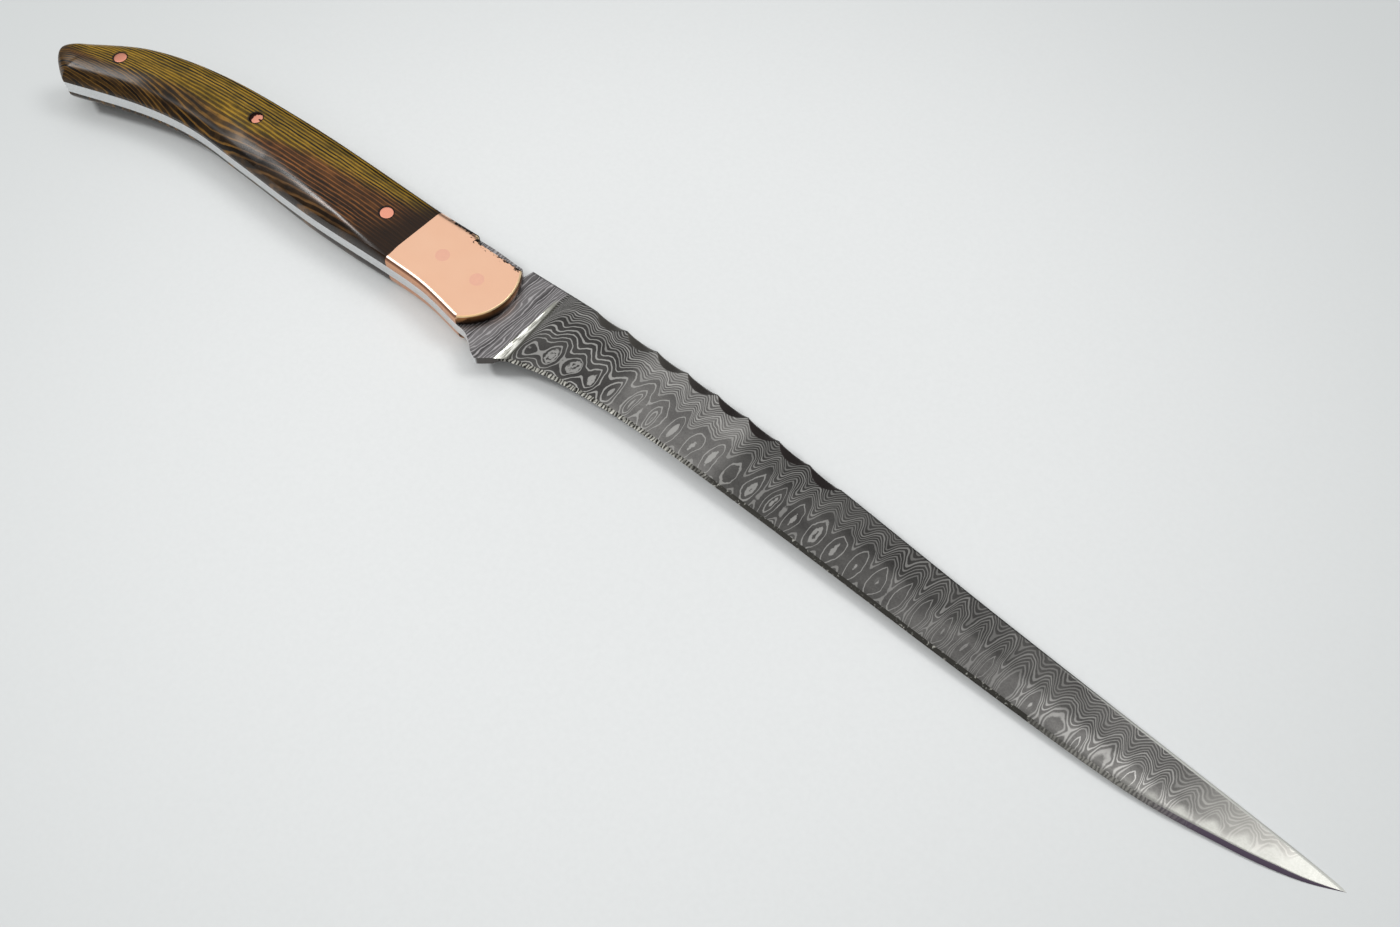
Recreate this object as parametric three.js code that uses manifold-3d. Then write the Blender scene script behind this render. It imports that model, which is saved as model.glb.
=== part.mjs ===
// A full-tang ham knife lying on its left side: a pattern-welded blade forged in one piece
// with its tang, two copper bolsters, two shaped wood scales and the copper pins that hold them.
// Millimetres, +Z up. +X points to the tip, +Y to the spine, and the right side faces up.
// Plan sizes are measured from the joint between wood and bolster (x = 0) and from the rear
// corner of the blade's spine (y = 0), and heights from the middle of the steel (z = 0).
import * as THREE from 'three';
import { mergeVertices } from 'three/addons/utils/BufferGeometryUtils.js';
import Module from 'manifold-3d';

// Lengths along the knife
const HANDLE_LENGTH = 111.2;
const BOLSTER_LENGTH = 29.5;
const BLADE_LENGTH = 211.5;

// Steel
const STEEL_THICKNESS = 3.3;
const HEEL_THICKNESS = 2.3;
const TIP_THICKNESS = 1.1;
const EDGE_SHOULDER_THICKNESS = 0.8;
const EDGE_BEVEL_HEIGHT = 1.6;
const PLUNGE_LENGTH = 3;
const TIP_LENGTH = 6;

// Blade outline, as heights and depths from the rear corner of the spine
const SHOULDER_SETBACK = 3;
const SPINE_RISE = 3.7;
const TIP_RISE = 0.8;
const HEEL_DEPTH = 25.9;
const EDGE_START_DEPTH = 20.8;
const WAIST_DEPTH = 13.2;
const FOREBLADE_DEPTH = 10.7;
const HEEL_LENGTH = 4;
const CHOIL_LENGTH = 6;

// Handle outline, as depths below the rear corner of the blade's spine
const SPINE_DEPTH_AT_JOINT = 3.2;
const BELLY_DEPTH_AT_JOINT = 21.9;
const BUTT_SPINE_DEPTH = 27.3;
const BUTT_CORNER_DEPTH = 37.6;
const BUTT_SPINE_SETBACK = 4.2;
const BUTT_CORNER_SETBACK = 6.6;
const BUTT_FULLNESS = 1.5;

// Handle thickness on each side of the steel
const JOINT_PLATE = 3.4;
const BOLSTER_FRONT_PLATE = 2.65;
const PALM_PLATE = 5.6;
const BUTT_PLATE = 4.9;
const PALM_START = 42;
const PALM_END = 86;

// Shaped edges of the handle
const SPINE_ROUND = 2.2;
const BELLY_BEVEL_AT_JOINT = 1;
const BELLY_BEVEL_AT_PALM = 5;
const BELLY_BEVEL_RUN = 65;
const WALL_HEIGHT = 1;
const BUTT_FAN_LEAD = 2.4;

// How full each shaped edge is: 1 is a full round, 0 a flat bevel
const SPINE_FULLNESS = 1;
const BELLY_FULLNESS_AT_JOINT = 0.6;
const BELLY_FULLNESS_AT_PALM = 0.4;
const BELLY_FULLNESS_AT_BUTT = 1;
const RIM_FULLNESS = 0.8;

// How late, on the way round the butt, the spine's round gives way to the belly's bevel
const BUTT_BEVEL_DELAY = 3;

// Bolster, with the filed notch in its spine and the one between it and the blade's shoulder
const BOLSTER_FRONT_SAGITTA = 4.4;
const BOLSTER_BELLY_SETBACK = 5.4;
const NOTCH_DEPTH = 1.8;
const NOTCH_START = 10.8;
const NOTCH_STEP = 2.4;
const SHOULDER_NOTCH_DEPTH = 2.8;
const SHOULDER_NOTCH_LENGTH = 0.5;
const TANG_DIP = 1;
const RIM_ROUND = 0.3;

// Pins, with their heights above the middle of the handle's width
const SCALE_PIN_DIAMETER = 3.2;
const BOLSTER_PIN_DIAMETER = 3.2;
const PIN_CLEARANCE = 0.05;
const FRONT_PIN_FROM_JOINT = 8.7;
const FRONT_PIN_RISE = 0.4;
const MIDDLE_PIN_FROM_JOINT = 53.5;
const MIDDLE_PIN_RISE = 1.4;
const REAR_PIN_FROM_BUTT = 16.4;
const REAR_PIN_RISE = 1.1;
const REAR_BOLSTER_PIN_FROM_JOINT = 9.5;
const REAR_BOLSTER_PIN_RISE = -0.5;
const FRONT_BOLSTER_PIN_FROM_FRONT = 9.2;
const FRONT_BOLSTER_PIN_RISE = -0.3;

// Filework along the spine, cut by a round file
const SCALLOP_COUNT = 8;
const SCALLOP_PITCH = 8.84;
const SCALLOP_START = 18.8;
const SCALLOP_DEPTH = 2.2;
const SCALLOP_SLOPE = THREE.MathUtils.degToRad(28);
const FILE_LENGTH = 36;

// Mesh fineness
const HANDLE_STEPS = 26;
const BUTT_STEPS = 12;
const FAN_STEPS = 4;
const BOLSTER_STEPS = 14;
const BOLSTER_SPINE_STEPS = 6;
const RICASSO_STEPS = 5;
const CHOIL_STEPS = 5;
const PLUNGE_STEPS = 8;
const BLADE_STEPS = 44;
const TIP_STEPS = 10;
const TIP_STEPS_FROM = 0.9;
const EDGE_STEPS = 5;
const PIN_SIDES = 32;
const FILE_SIDES = 64;
const HALVINGS = 40;
const WELD = 1e-4;

const wasm = await Module();
wasm.setup();

const { clamp, lerp, smoothstep } = THREE.MathUtils;
const half = STEEL_THICKNESS / 2;
const shoulderX = BOLSTER_LENGTH - SHOULDER_SETBACK;
const tipX = shoulderX + BLADE_LENGTH;
const heelX = BOLSTER_LENGTH + HEEL_LENGTH;
const edgeX = heelX + CHOIL_LENGTH;
const plungeX = edgeX - PLUNGE_LENGTH;
const along = (share) => shoulderX + share * BLADE_LENGTH;
const behind = (share) => -share * HANDLE_LENGTH;

const spline = (points) => new THREE.SplineCurve(points.map(([x, y]) => new THREE.Vector2(x, y)));

// The place between two values at which a test that holds at the first stops holding
function turningPlace(test, first, second) {
  let holds = first;
  let fails = second;
  for (let halving = 0; halving < HALVINGS; halving += 1) {
    const middle = (holds + fails) / 2;
    if (test(middle)) holds = middle;
    else fails = middle;
  }
  return (holds + fails) / 2;
}

// The height of a curve whose points run toward +X
function heightAt(curve, x) {
  return curve.getPoint(turningPlace((place) => curve.getPoint(place).x < x, 0, 1)).y;
}

// Plan outline of the blade
const bladeSpine = spline([
  [shoulderX, 0],
  [along(0.15), 0.76 * SPINE_RISE],
  [along(0.34), SPINE_RISE],
  [along(0.63), lerp(TIP_RISE, SPINE_RISE, 0.48)],
  [along(0.95), lerp(TIP_RISE, SPINE_RISE, 0.17)],
  [tipX, TIP_RISE],
]);
const bladeEdge = spline([
  [edgeX, -EDGE_START_DEPTH],
  [along(0.117), -lerp(EDGE_START_DEPTH, WAIST_DEPTH, 0.45)],
  [along(0.224), -lerp(EDGE_START_DEPTH, WAIST_DEPTH, 0.82)],
  [along(0.397), -WAIST_DEPTH],
  [along(0.63), -lerp(WAIST_DEPTH, FOREBLADE_DEPTH, 0.4)],
  [along(0.797), -FOREBLADE_DEPTH],
  [along(0.896), lerp(-FOREBLADE_DEPTH, TIP_RISE, 0.31)],
  [along(0.959), lerp(-FOREBLADE_DEPTH, TIP_RISE, 0.63)],
  [tipX, TIP_RISE],
]);
const choil = spline([
  [heelX, -HEEL_DEPTH],
  [heelX + 0.2 * CHOIL_LENGTH, -lerp(HEEL_DEPTH, EDGE_START_DEPTH, 0.14)],
  [heelX + 0.42 * CHOIL_LENGTH, -lerp(HEEL_DEPTH, EDGE_START_DEPTH, 0.49)],
  [heelX + 0.65 * CHOIL_LENGTH, -lerp(HEEL_DEPTH, EDGE_START_DEPTH, 0.76)],
  [edgeX, -EDGE_START_DEPTH],
]);

// Plan outline of the handle
const buttSpine = new THREE.Vector2(BUTT_SPINE_SETBACK - HANDLE_LENGTH, -BUTT_SPINE_DEPTH);
const buttCorner = new THREE.Vector2(BUTT_CORNER_SETBACK - HANDLE_LENGTH, -BUTT_CORNER_DEPTH);
const handleSpine = spline([
  [buttSpine.x, buttSpine.y],
  [behind(0.832), -lerp(SPINE_DEPTH_AT_JOINT, BUTT_SPINE_DEPTH, 0.585)],
  [behind(0.651), -lerp(SPINE_DEPTH_AT_JOINT, BUTT_SPINE_DEPTH, 0.31)],
  [behind(0.407), -lerp(SPINE_DEPTH_AT_JOINT, BUTT_SPINE_DEPTH, 0.15)],
  [0, -SPINE_DEPTH_AT_JOINT],
  [shoulderX, 0],
]);
const handleBelly = spline([
  [buttCorner.x, buttCorner.y],
  [behind(0.76), -lerp(BELLY_DEPTH_AT_JOINT, BUTT_CORNER_DEPTH, 0.5)],
  [behind(0.615), -lerp(BELLY_DEPTH_AT_JOINT, BUTT_CORNER_DEPTH, 0.26)],
  [behind(0.452), -lerp(BELLY_DEPTH_AT_JOINT, BUTT_CORNER_DEPTH, 0.205)],
  [behind(0.226), -lerp(BELLY_DEPTH_AT_JOINT, BUTT_CORNER_DEPTH, 0.153)],
  [0, -BELLY_DEPTH_AT_JOINT],
  [0.41 * BOLSTER_LENGTH, -lerp(BELLY_DEPTH_AT_JOINT, HEEL_DEPTH, -0.175)],
  [0.78 * BOLSTER_LENGTH, -lerp(BELLY_DEPTH_AT_JOINT, HEEL_DEPTH, 0.075)],
  [heelX, -HEEL_DEPTH],
]);
const buttEnd = new THREE.CubicBezierCurve(
  buttSpine,
  new THREE.Vector2(-HANDLE_LENGTH - BUTT_FULLNESS, lerp(buttSpine.y, buttCorner.y, 0.42)),
  new THREE.Vector2(-HANDLE_LENGTH - BUTT_FULLNESS, lerp(buttSpine.y, buttCorner.y, 0.7)),
  buttCorner,
);

// The butt end's furthest place, which parts its upper from its lower stretch
const buttTurn = turningPlace((place) => buttEnd.getTangent(place).x < 0, 0, 1);
const buttTip = buttEnd.getPoint(buttTurn);
function buttY(x, end) {
  return buttEnd.getPoint(turningPlace((place) => buttEnd.getPoint(place).x < x, buttTurn, end)).y;
}

const spineY = (x) => heightAt(handleSpine, x);
const bellyY = (x) => heightAt(handleBelly, x);
const middleY = (x) => (spineY(x) + bellyY(x)) / 2;

// Thickness of the wood at a place along the handle, and of the copper along the bolster
function woodPlate(x) {
  const toPalm = Math.max(0, 1 + x / PALM_START);
  const pastPalm = Math.max(0, (-x - PALM_END) / (HANDLE_LENGTH - PALM_END));
  const swell = (PALM_PLATE - JOINT_PLATE) * toPalm ** 2;
  const fall = (PALM_PLATE - BUTT_PLATE) * pastPalm ** 2;
  return PALM_PLATE - swell - fall;
}
const copperPlate = (x) => lerp(JOINT_PLATE, BOLSTER_FRONT_PLATE, x / BOLSTER_LENGTH);

// Width and fullness of the bevel along the belly of the wood, which starts like the bolster's
const bevelShare = (x) => smoothstep(-x, 0, BELLY_BEVEL_RUN);
const bellyBevel = (x) => lerp(BELLY_BEVEL_AT_JOINT, BELLY_BEVEL_AT_PALM, bevelShare(x));
function bellyFullness(x) {
  const toPalm = lerp(BELLY_FULLNESS_AT_JOINT, BELLY_FULLNESS_AT_PALM, bevelShare(x));
  return lerp(toPalm, BELLY_FULLNESS_AT_BUTT, smoothstep(-x, BELLY_BEVEL_RUN, HANDLE_LENGTH));
}

// A place on a shaped edge: how far in from the outline it lies, and how high on a plate
function edgeInset(share, width, fullness) {
  const bend = share * (1 - share) * (1 - fullness) + share ** 2;
  return bend * width;
}
function edgeRise(share, plate, fullness) {
  const bend = share * (1 - share) * (1 + fullness) + share ** 2;
  return lerp(WALL_HEIGHT, plate, bend);
}

// A closed mesh from its points and triangles, with its faces turned outward
function closedGeometry(points, triangles) {
  let volume = 0;
  for (const [a, b, c] of triangles) volume += points[a].dot(points[b].clone().cross(points[c])) / 6;
  const turned = volume < 0 ? triangles.map(([a, b, c]) => [a, c, b]) : triangles;
  const geometry = new THREE.BufferGeometry().setFromPoints(points);
  geometry.setIndex(turned.flat());
  const welded = mergeVertices(geometry, WELD);
  const index = welded.index.array;
  const kept = [];
  for (let i = 0; i < index.length; i += 3) {
    const [a, b, c] = index.slice(i, i + 3);
    if (a !== b && b !== c && c !== a) kept.push(a, b, c);
  }
  welded.setIndex(kept);
  return welded;
}

function toSolid(geometry) {
  const bare = geometry.clone();
  bare.deleteAttribute('normal');
  bare.deleteAttribute('uv');
  const merged = mergeVertices(bare, WELD);
  const vertProperties = new Float32Array(merged.attributes.position.array);
  const triVerts = new Uint32Array(merged.index.array);
  return new wasm.Manifold(new wasm.Mesh({ numProp: 3, vertProperties, triVerts }));
}

function toGeometry(solid) {
  const mesh = solid.getMesh();
  const geometry = new THREE.BufferGeometry();
  geometry.setAttribute('position', new THREE.BufferAttribute(new Float32Array(mesh.vertProperties), 3));
  geometry.setIndex(new THREE.BufferAttribute(new Uint32Array(mesh.triVerts), 1));
  return geometry;
}

function cut(geometry, tools) {
  let solid = toSolid(geometry);
  for (const tool of tools) solid = solid.subtract(toSolid(tool));
  return toGeometry(solid);
}

// An upright cylinder, for the pins and for the holes that they pass through
function upright(radius, x, y, top, bottom) {
  const geometry = new THREE.CylinderGeometry(radius, radius, top - bottom, PIN_SIDES);
  geometry.rotateX(Math.PI / 2);
  geometry.translate(x, y, (top + bottom) / 2);
  return geometry;
}

// The five pins: each passes through both plates and the steel between them
function pinAt(name, x, rise, plate, diameter) {
  return { name, x, y: middleY(x) + rise, top: half + plate(x), radius: diameter / 2 };
}
const scalePin = (name, x, rise) => pinAt(name, x, rise, woodPlate, SCALE_PIN_DIAMETER);
const bolsterPin = (name, x, rise) => pinAt(name, x, rise, copperPlate, BOLSTER_PIN_DIAMETER);
const rearPinX = REAR_PIN_FROM_BUTT - HANDLE_LENGTH;
const frontBolsterPinX = BOLSTER_LENGTH - FRONT_BOLSTER_PIN_FROM_FRONT;
const scalePins = [
  scalePin('front_scale_pin', -FRONT_PIN_FROM_JOINT, FRONT_PIN_RISE),
  scalePin('middle_scale_pin', -MIDDLE_PIN_FROM_JOINT, MIDDLE_PIN_RISE),
  scalePin('rear_scale_pin', rearPinX, REAR_PIN_RISE),
];
const bolsterPins = [
  bolsterPin('rear_bolster_pin', REAR_BOLSTER_PIN_FROM_JOINT, REAR_BOLSTER_PIN_RISE),
  bolsterPin('front_bolster_pin', frontBolsterPinX, FRONT_BOLSTER_PIN_RISE),
];
const pins = [...scalePins, ...bolsterPins];
const pinHoles = (chosen) =>
  chosen.map(({ radius, x, y, top }) => upright(radius + PIN_CLEARANCE, x, y, 2 * top, -2 * top));

// Front end of the bolster: an arc from the belly to the floor of the notch in the spine
const frontSpine = new THREE.Vector2(shoulderX - SHOULDER_NOTCH_LENGTH, -SHOULDER_NOTCH_DEPTH);
const frontBellyX = BOLSTER_LENGTH - BOLSTER_BELLY_SETBACK;
const frontBelly = new THREE.Vector2(frontBellyX, bellyY(frontBellyX));
const notchEnd = NOTCH_START + NOTCH_STEP;
function bolsterFront() {
  const chord = frontSpine.clone().sub(frontBelly);
  const radius = (chord.lengthSq() / 4 + BOLSTER_FRONT_SAGITTA ** 2) / (2 * BOLSTER_FRONT_SAGITTA);
  const outward = new THREE.Vector2(chord.y, -chord.x).normalize();
  const centre = frontBelly.clone().lerp(frontSpine, 0.5);
  centre.addScaledVector(outward, BOLSTER_FRONT_SAGITTA - radius);
  const from = frontBelly.clone().sub(centre).angle() - 2 * Math.PI;
  const to = frontSpine.clone().sub(centre).angle();
  return { centre, radius, from, to };
}

// Steel: tang, ricasso and blade as sections along the length
function steelTop(x) {
  if (x >= shoulderX) return heightAt(bladeSpine, x);
  if (x >= frontSpine.x) return -SHOULDER_NOTCH_DEPTH;
  const dip = TANG_DIP * smoothstep(x, notchEnd, frontSpine.x);
  if (x >= buttSpine.x) return spineY(x) - dip;
  return buttY(x, 0);
}
function steelBottom(x) {
  if (x >= edgeX) return heightAt(bladeEdge, x);
  if (x >= heelX) return heightAt(choil, x);
  if (x >= buttCorner.x) return bellyY(x);
  return buttY(x, 1);
}

// One section of the steel: a slab along the tang and the ricasso, then a wedge with a bevelled edge
function steelSection(x) {
  const top = steelTop(x);
  const bottom = steelBottom(x);
  const tall = top - bottom;
  const ground = clamp((x - plungeX) / PLUNGE_LENGTH, 0, 1);
  const sweep = Math.sqrt(1 - (1 - ground) ** 2);
  const heel = smoothstep(x, frontBelly.x, heelX);
  const taper = clamp((x - edgeX) / (tipX - edgeX), 0, 1);
  const narrowing = x > edgeX ? Math.min(1, tall / TIP_LENGTH) : 1;
  const spine = lerp(STEEL_THICKNESS, TIP_THICKNESS, taper) * narrowing;
  const slab = lerp(STEEL_THICKNESS, HEEL_THICKNESS, heel);
  const shoulder = lerp(slab, EDGE_SHOULDER_THICKNESS, sweep) * narrowing;
  const edge = slab * (1 - sweep);
  const rise = EDGE_BEVEL_HEIGHT * ground * narrowing;
  return [
    [bottom, edge / 2],
    [bottom + rise, shoulder / 2],
    [top, spine / 2],
    [top, -spine / 2],
    [bottom + rise, -shoulder / 2],
    [bottom, -edge / 2],
  ].map(([y, z]) => new THREE.Vector3(x, y, z));
}

function steelStations() {
  const stations = [];
  const run = (from, to, steps) => {
    for (let step = 0; step < steps; step += 1) stations.push(lerp(from, to, step / steps));
  };
  for (let step = 1; step < BUTT_STEPS; step += 1) {
    stations.push(lerp(buttTip.x, buttCorner.x, (step / BUTT_STEPS) ** 2));
  }
  run(buttCorner.x, 0, HANDLE_STEPS);
  run(0, frontSpine.x, BOLSTER_STEPS);
  stations.push(frontSpine.x);
  run(shoulderX, heelX, RICASSO_STEPS);
  run(heelX, plungeX, CHOIL_STEPS);
  run(plungeX, edgeX, PLUNGE_STEPS);
  run(edgeX, along(TIP_STEPS_FROM), BLADE_STEPS);
  run(along(TIP_STEPS_FROM), tipX, TIP_STEPS);
  return stations;
}

function steelGeometry() {
  const sections = steelStations().map(steelSection);
  const sides = sections[0].length;
  const points = sections.flat();
  const triangles = [];
  for (let row = 0; row + 1 < sections.length; row += 1) {
    for (let side = 0; side < sides; side += 1) {
      const a = row * sides + side;
      const b = row * sides + ((side + 1) % sides);
      triangles.push([a, b, b + sides], [a, b + sides, a + sides]);
    }
  }
  const tip = points.push(new THREE.Vector3(tipX, TIP_RISE, 0)) - 1;
  const last = (sections.length - 1) * sides;
  for (let side = 0; side < sides; side += 1) {
    triangles.push([last + side, last + ((side + 1) % sides), tip]);
  }
  const upper = points.push(new THREE.Vector3(buttTip.x, buttTip.y, half)) - 1;
  const lower = points.push(new THREE.Vector3(buttTip.x, buttTip.y, -half)) - 1;
  triangles.push([upper, 2, 1], [upper, 1, 0], [lower, 4, 3], [lower, 5, 4]);
  triangles.push([upper, lower, 3], [upper, 3, 2], [upper, 0, 5], [upper, 5, lower]);
  return closedGeometry(points, triangles);
}

// Round-file cuts along both edges of the spine
function scallopCuts() {
  const chord = SCALLOP_PITCH / 2;
  const sink = SCALLOP_DEPTH * Math.sin(SCALLOP_SLOPE);
  const radius = (chord ** 2 + sink ** 2) / (2 * sink);
  const cuts = [];
  for (let place = 0; place < SCALLOP_COUNT; place += 1) {
    const x = shoulderX + SCALLOP_START + (place + 0.5) * SCALLOP_PITCH;
    const [, , corner] = steelSection(x);
    for (const side of [1, -1]) {
      const file = new THREE.CylinderGeometry(radius, radius, FILE_LENGTH, FILE_SIDES);
      file.rotateX(-side * SCALLOP_SLOPE);
      const outY = radius * Math.sin(SCALLOP_SLOPE);
      const outZ = radius * Math.cos(SCALLOP_SLOPE);
      file.translate(x, corner.y - SCALLOP_DEPTH + outY, side * (corner.z + outZ));
      cuts.push(file);
    }
  }
  return cuts;
}

// Wood scale: its outline runs from the spine at the joint round the butt to the belly at the joint
function scaleGeometry(side) {
  const fanX = buttCorner.x + BUTT_FAN_LEAD;
  const fanCentre = new THREE.Vector2(fanX, middleY(fanX));
  const samples = [];
  const straight = (x, y, width, fullness) => {
    const point = new THREE.Vector2(x, y);
    const centre = new THREE.Vector2(x, middleY(x));
    samples.push({ point, centre, width, fullness });
  };
  const fan = (point, around) => {
    const share = around ** BUTT_BEVEL_DELAY;
    const width = lerp(SPINE_ROUND, bellyBevel(fanX), share);
    const fullness = lerp(SPINE_FULLNESS, bellyFullness(fanX), share);
    samples.push({ point, centre: fanCentre, width, fullness });
  };
  for (let step = 0; step <= HANDLE_STEPS; step += 1) {
    const x = lerp(0, fanX, step / HANDLE_STEPS);
    straight(x, spineY(x), SPINE_ROUND, SPINE_FULLNESS);
  }
  for (let step = 1; step < FAN_STEPS; step += 1) {
    const x = lerp(fanX, buttSpine.x, step / FAN_STEPS);
    fan(new THREE.Vector2(x, spineY(x)), 0);
  }
  for (let step = 0; step <= BUTT_STEPS; step += 1) {
    fan(buttEnd.getPoint(step / BUTT_STEPS), step / BUTT_STEPS);
  }
  const cornerX = (fanX + buttCorner.x) / 2;
  fan(new THREE.Vector2(cornerX, bellyY(cornerX)), 1);
  for (let step = HANDLE_STEPS; step >= 0; step -= 1) {
    const x = lerp(0, fanX, step / HANDLE_STEPS);
    straight(x, bellyY(x), bellyBevel(x), bellyFullness(x));
  }

  const points = [];
  const columns = EDGE_STEPS + 4;
  for (const { point, centre, width, fullness } of samples) {
    const inward = centre.clone().sub(point).normalize();
    const add = (place, rise) => points.push(new THREE.Vector3(place.x, place.y, side * (half + rise)));
    add(centre, 0);
    add(point, 0);
    for (let step = 0; step <= EDGE_STEPS; step += 1) {
      const share = step / EDGE_STEPS;
      const place = point.clone().addScaledVector(inward, edgeInset(share, width, fullness));
      add(place, edgeRise(share, woodPlate(place.x), fullness));
    }
    add(centre, woodPlate(centre.x));
  }
  const triangles = [];
  for (let row = 0; row + 1 < samples.length; row += 1) {
    for (let column = 0; column + 1 < columns; column += 1) {
      const a = row * columns + column;
      const b = a + columns;
      triangles.push([a, a + 1, b + 1], [a, b + 1, b]);
    }
  }
  const lastRow = (samples.length - 1) * columns;
  for (let column = 1; column + 1 < columns; column += 1) {
    triangles.push([0, column + 1, column], [lastRow, lastRow + column, lastRow + column + 1]);
  }
  return closedGeometry(points, triangles);
}

// Copper bolster: rings that climb from its outline on the steel to the rim of its flat face
function bolsterGeometry(side) {
  const samples = [];
  const add = (x, y, inward, width, fullness) => {
    samples.push({ point: new THREE.Vector2(x, y), inward, width, fullness });
  };
  const towardSpine = new THREE.Vector2(0, 1);
  const towardBelly = new THREE.Vector2(0, -1);
  const intoCorner = new THREE.Vector2(-RIM_ROUND / BELLY_BEVEL_AT_JOINT, 1);
  for (let step = 0; step <= BOLSTER_STEPS; step += 1) {
    const x = lerp(0, frontBelly.x, step / BOLSTER_STEPS);
    const inward = step < BOLSTER_STEPS ? towardSpine : intoCorner;
    add(x, bellyY(x), inward, BELLY_BEVEL_AT_JOINT, BELLY_FULLNESS_AT_JOINT);
  }
  const arc = bolsterFront();
  for (let step = 1; step <= BOLSTER_STEPS; step += 1) {
    const turn = lerp(arc.from, arc.to, step / BOLSTER_STEPS);
    const outward = new THREE.Vector2(Math.cos(turn), Math.sin(turn));
    const place = arc.centre.clone().addScaledVector(outward, arc.radius);
    add(place.x, place.y, outward.negate(), RIM_ROUND, RIM_FULLNESS);
  }
  add(notchEnd, spineY(NOTCH_START) - NOTCH_DEPTH, towardBelly, RIM_ROUND, RIM_FULLNESS);
  for (let step = BOLSTER_SPINE_STEPS; step >= 0; step -= 1) {
    const x = lerp(0, NOTCH_START, step / BOLSTER_SPINE_STEPS);
    add(x, spineY(x), towardBelly, SPINE_ROUND, SPINE_FULLNESS);
  }

  const base = samples.map(({ point }) => new THREE.Vector3(point.x, point.y, side * half));
  const ring = (share) => samples.map(({ point, inward, width, fullness }) => {
    const place = point.clone().addScaledVector(inward, edgeInset(share, width, fullness));
    const rise = edgeRise(share, copperPlate(place.x), fullness);
    return new THREE.Vector3(place.x, place.y, side * (half + rise));
  });
  const rings = [base];
  for (let step = 0; step <= EDGE_STEPS; step += 1) rings.push(ring(step / EDGE_STEPS));

  const points = rings.flat();
  const count = samples.length;
  const triangles = [];
  for (let level = 0; level + 1 < rings.length; level += 1) {
    for (let place = 0; place < count; place += 1) {
      const a = level * count + place;
      const b = level * count + ((place + 1) % count);
      triangles.push([a, b, b + count], [a, b + count, a + count]);
    }
  }
  const top = rings.length - 1;
  const faces = (level) => {
    const plan = rings[level].map((point) => new THREE.Vector2(point.x, point.y));
    return THREE.ShapeUtils.triangulateShape(plan, []);
  };
  for (const [a, b, c] of faces(0)) triangles.push([a, c, b]);
  for (const face of faces(top)) triangles.push(face.map((corner) => corner + top * count));
  return closedGeometry(points, triangles);
}

const materials = {
  steel: () => new THREE.MeshStandardMaterial({ color: 0x77787a, metalness: 1, roughness: 0.35 }),
  copper: () => new THREE.MeshStandardMaterial({ color: 0xe6b595, metalness: 1, roughness: 0.15 }),
  pin: () => new THREE.MeshStandardMaterial({ color: 0xe89b81, metalness: 1, roughness: 0.3 }),
  wood: () => new THREE.MeshStandardMaterial({ color: 0x513a2c, metalness: 0, roughness: 0.3 }),
};

const knife = new THREE.Group();
function addPiece(name, geometry, material) {
  geometry.computeVertexNormals();
  const mesh = new THREE.Mesh(geometry, material);
  mesh.name = name;
  knife.add(mesh);
}

addPiece('blade', cut(cut(steelGeometry(), scallopCuts()), pinHoles(pins)), materials.steel());
for (const [label, side] of [['right', 1], ['left', -1]]) {
  addPiece(`${label}_bolster`, cut(bolsterGeometry(side), pinHoles(bolsterPins)), materials.copper());
  addPiece(`${label}_scale`, cut(scaleGeometry(side), pinHoles(scalePins)), materials.wood());
}
for (const { name, radius, x, y, top } of pins) {
  addPiece(name, upright(radius, x, y, top, -top), materials.pin());
}

// The part's origin is the middle of its length and width, at the level of its lowest face
const box = new THREE.Box3().setFromObject(knife);
const middle = box.getCenter(new THREE.Vector3());
knife.position.set(-middle.x, -middle.y, -box.min.z);

const part = new THREE.Group();
part.add(knife);
export default part;
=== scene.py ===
# The looks of a full-tang ham knife lying on its left side: a pattern-welded blade with a filed
# spine, polished copper bolsters, dark wood scales and copper pins.
# Shapes are worked out in millimetres, from the joint between wood and bolster (x = 0), the rear
# corner of the blade's spine (y = 0) and the middle of the steel (z = 0), and placed in metres.
import math

import bmesh
import bpy
import numpy as np
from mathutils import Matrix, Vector


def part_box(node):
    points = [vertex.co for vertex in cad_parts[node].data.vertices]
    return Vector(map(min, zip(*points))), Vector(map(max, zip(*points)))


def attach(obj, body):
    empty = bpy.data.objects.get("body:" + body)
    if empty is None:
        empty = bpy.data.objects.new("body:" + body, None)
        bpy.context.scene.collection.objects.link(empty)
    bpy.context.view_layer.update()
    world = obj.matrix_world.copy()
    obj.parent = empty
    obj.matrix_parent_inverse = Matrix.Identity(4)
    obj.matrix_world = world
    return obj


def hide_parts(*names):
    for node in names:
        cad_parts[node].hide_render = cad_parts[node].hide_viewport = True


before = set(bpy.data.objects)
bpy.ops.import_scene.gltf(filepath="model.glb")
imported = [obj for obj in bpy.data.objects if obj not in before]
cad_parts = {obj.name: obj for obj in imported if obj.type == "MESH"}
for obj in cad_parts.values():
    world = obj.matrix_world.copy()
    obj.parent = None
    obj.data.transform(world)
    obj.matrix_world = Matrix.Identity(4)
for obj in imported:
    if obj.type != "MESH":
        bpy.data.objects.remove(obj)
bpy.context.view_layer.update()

MILLIMETRE = 0.001

# Lengths along the knife
HANDLE_LENGTH = 111.2
BOLSTER_LENGTH = 29.5
BLADE_LENGTH = 211.5

# Steel
STEEL_THICKNESS = 3.3
HEEL_THICKNESS = 2.3
TIP_THICKNESS = 1.1
EDGE_SHOULDER_THICKNESS = 0.8
EDGE_BEVEL_HEIGHT = 1
PLUNGE_LENGTH = 3
TIP_LENGTH = 6
SPINE_EASE = 0.22
SPINE_EASE_WIDTH = 0.5

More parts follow.
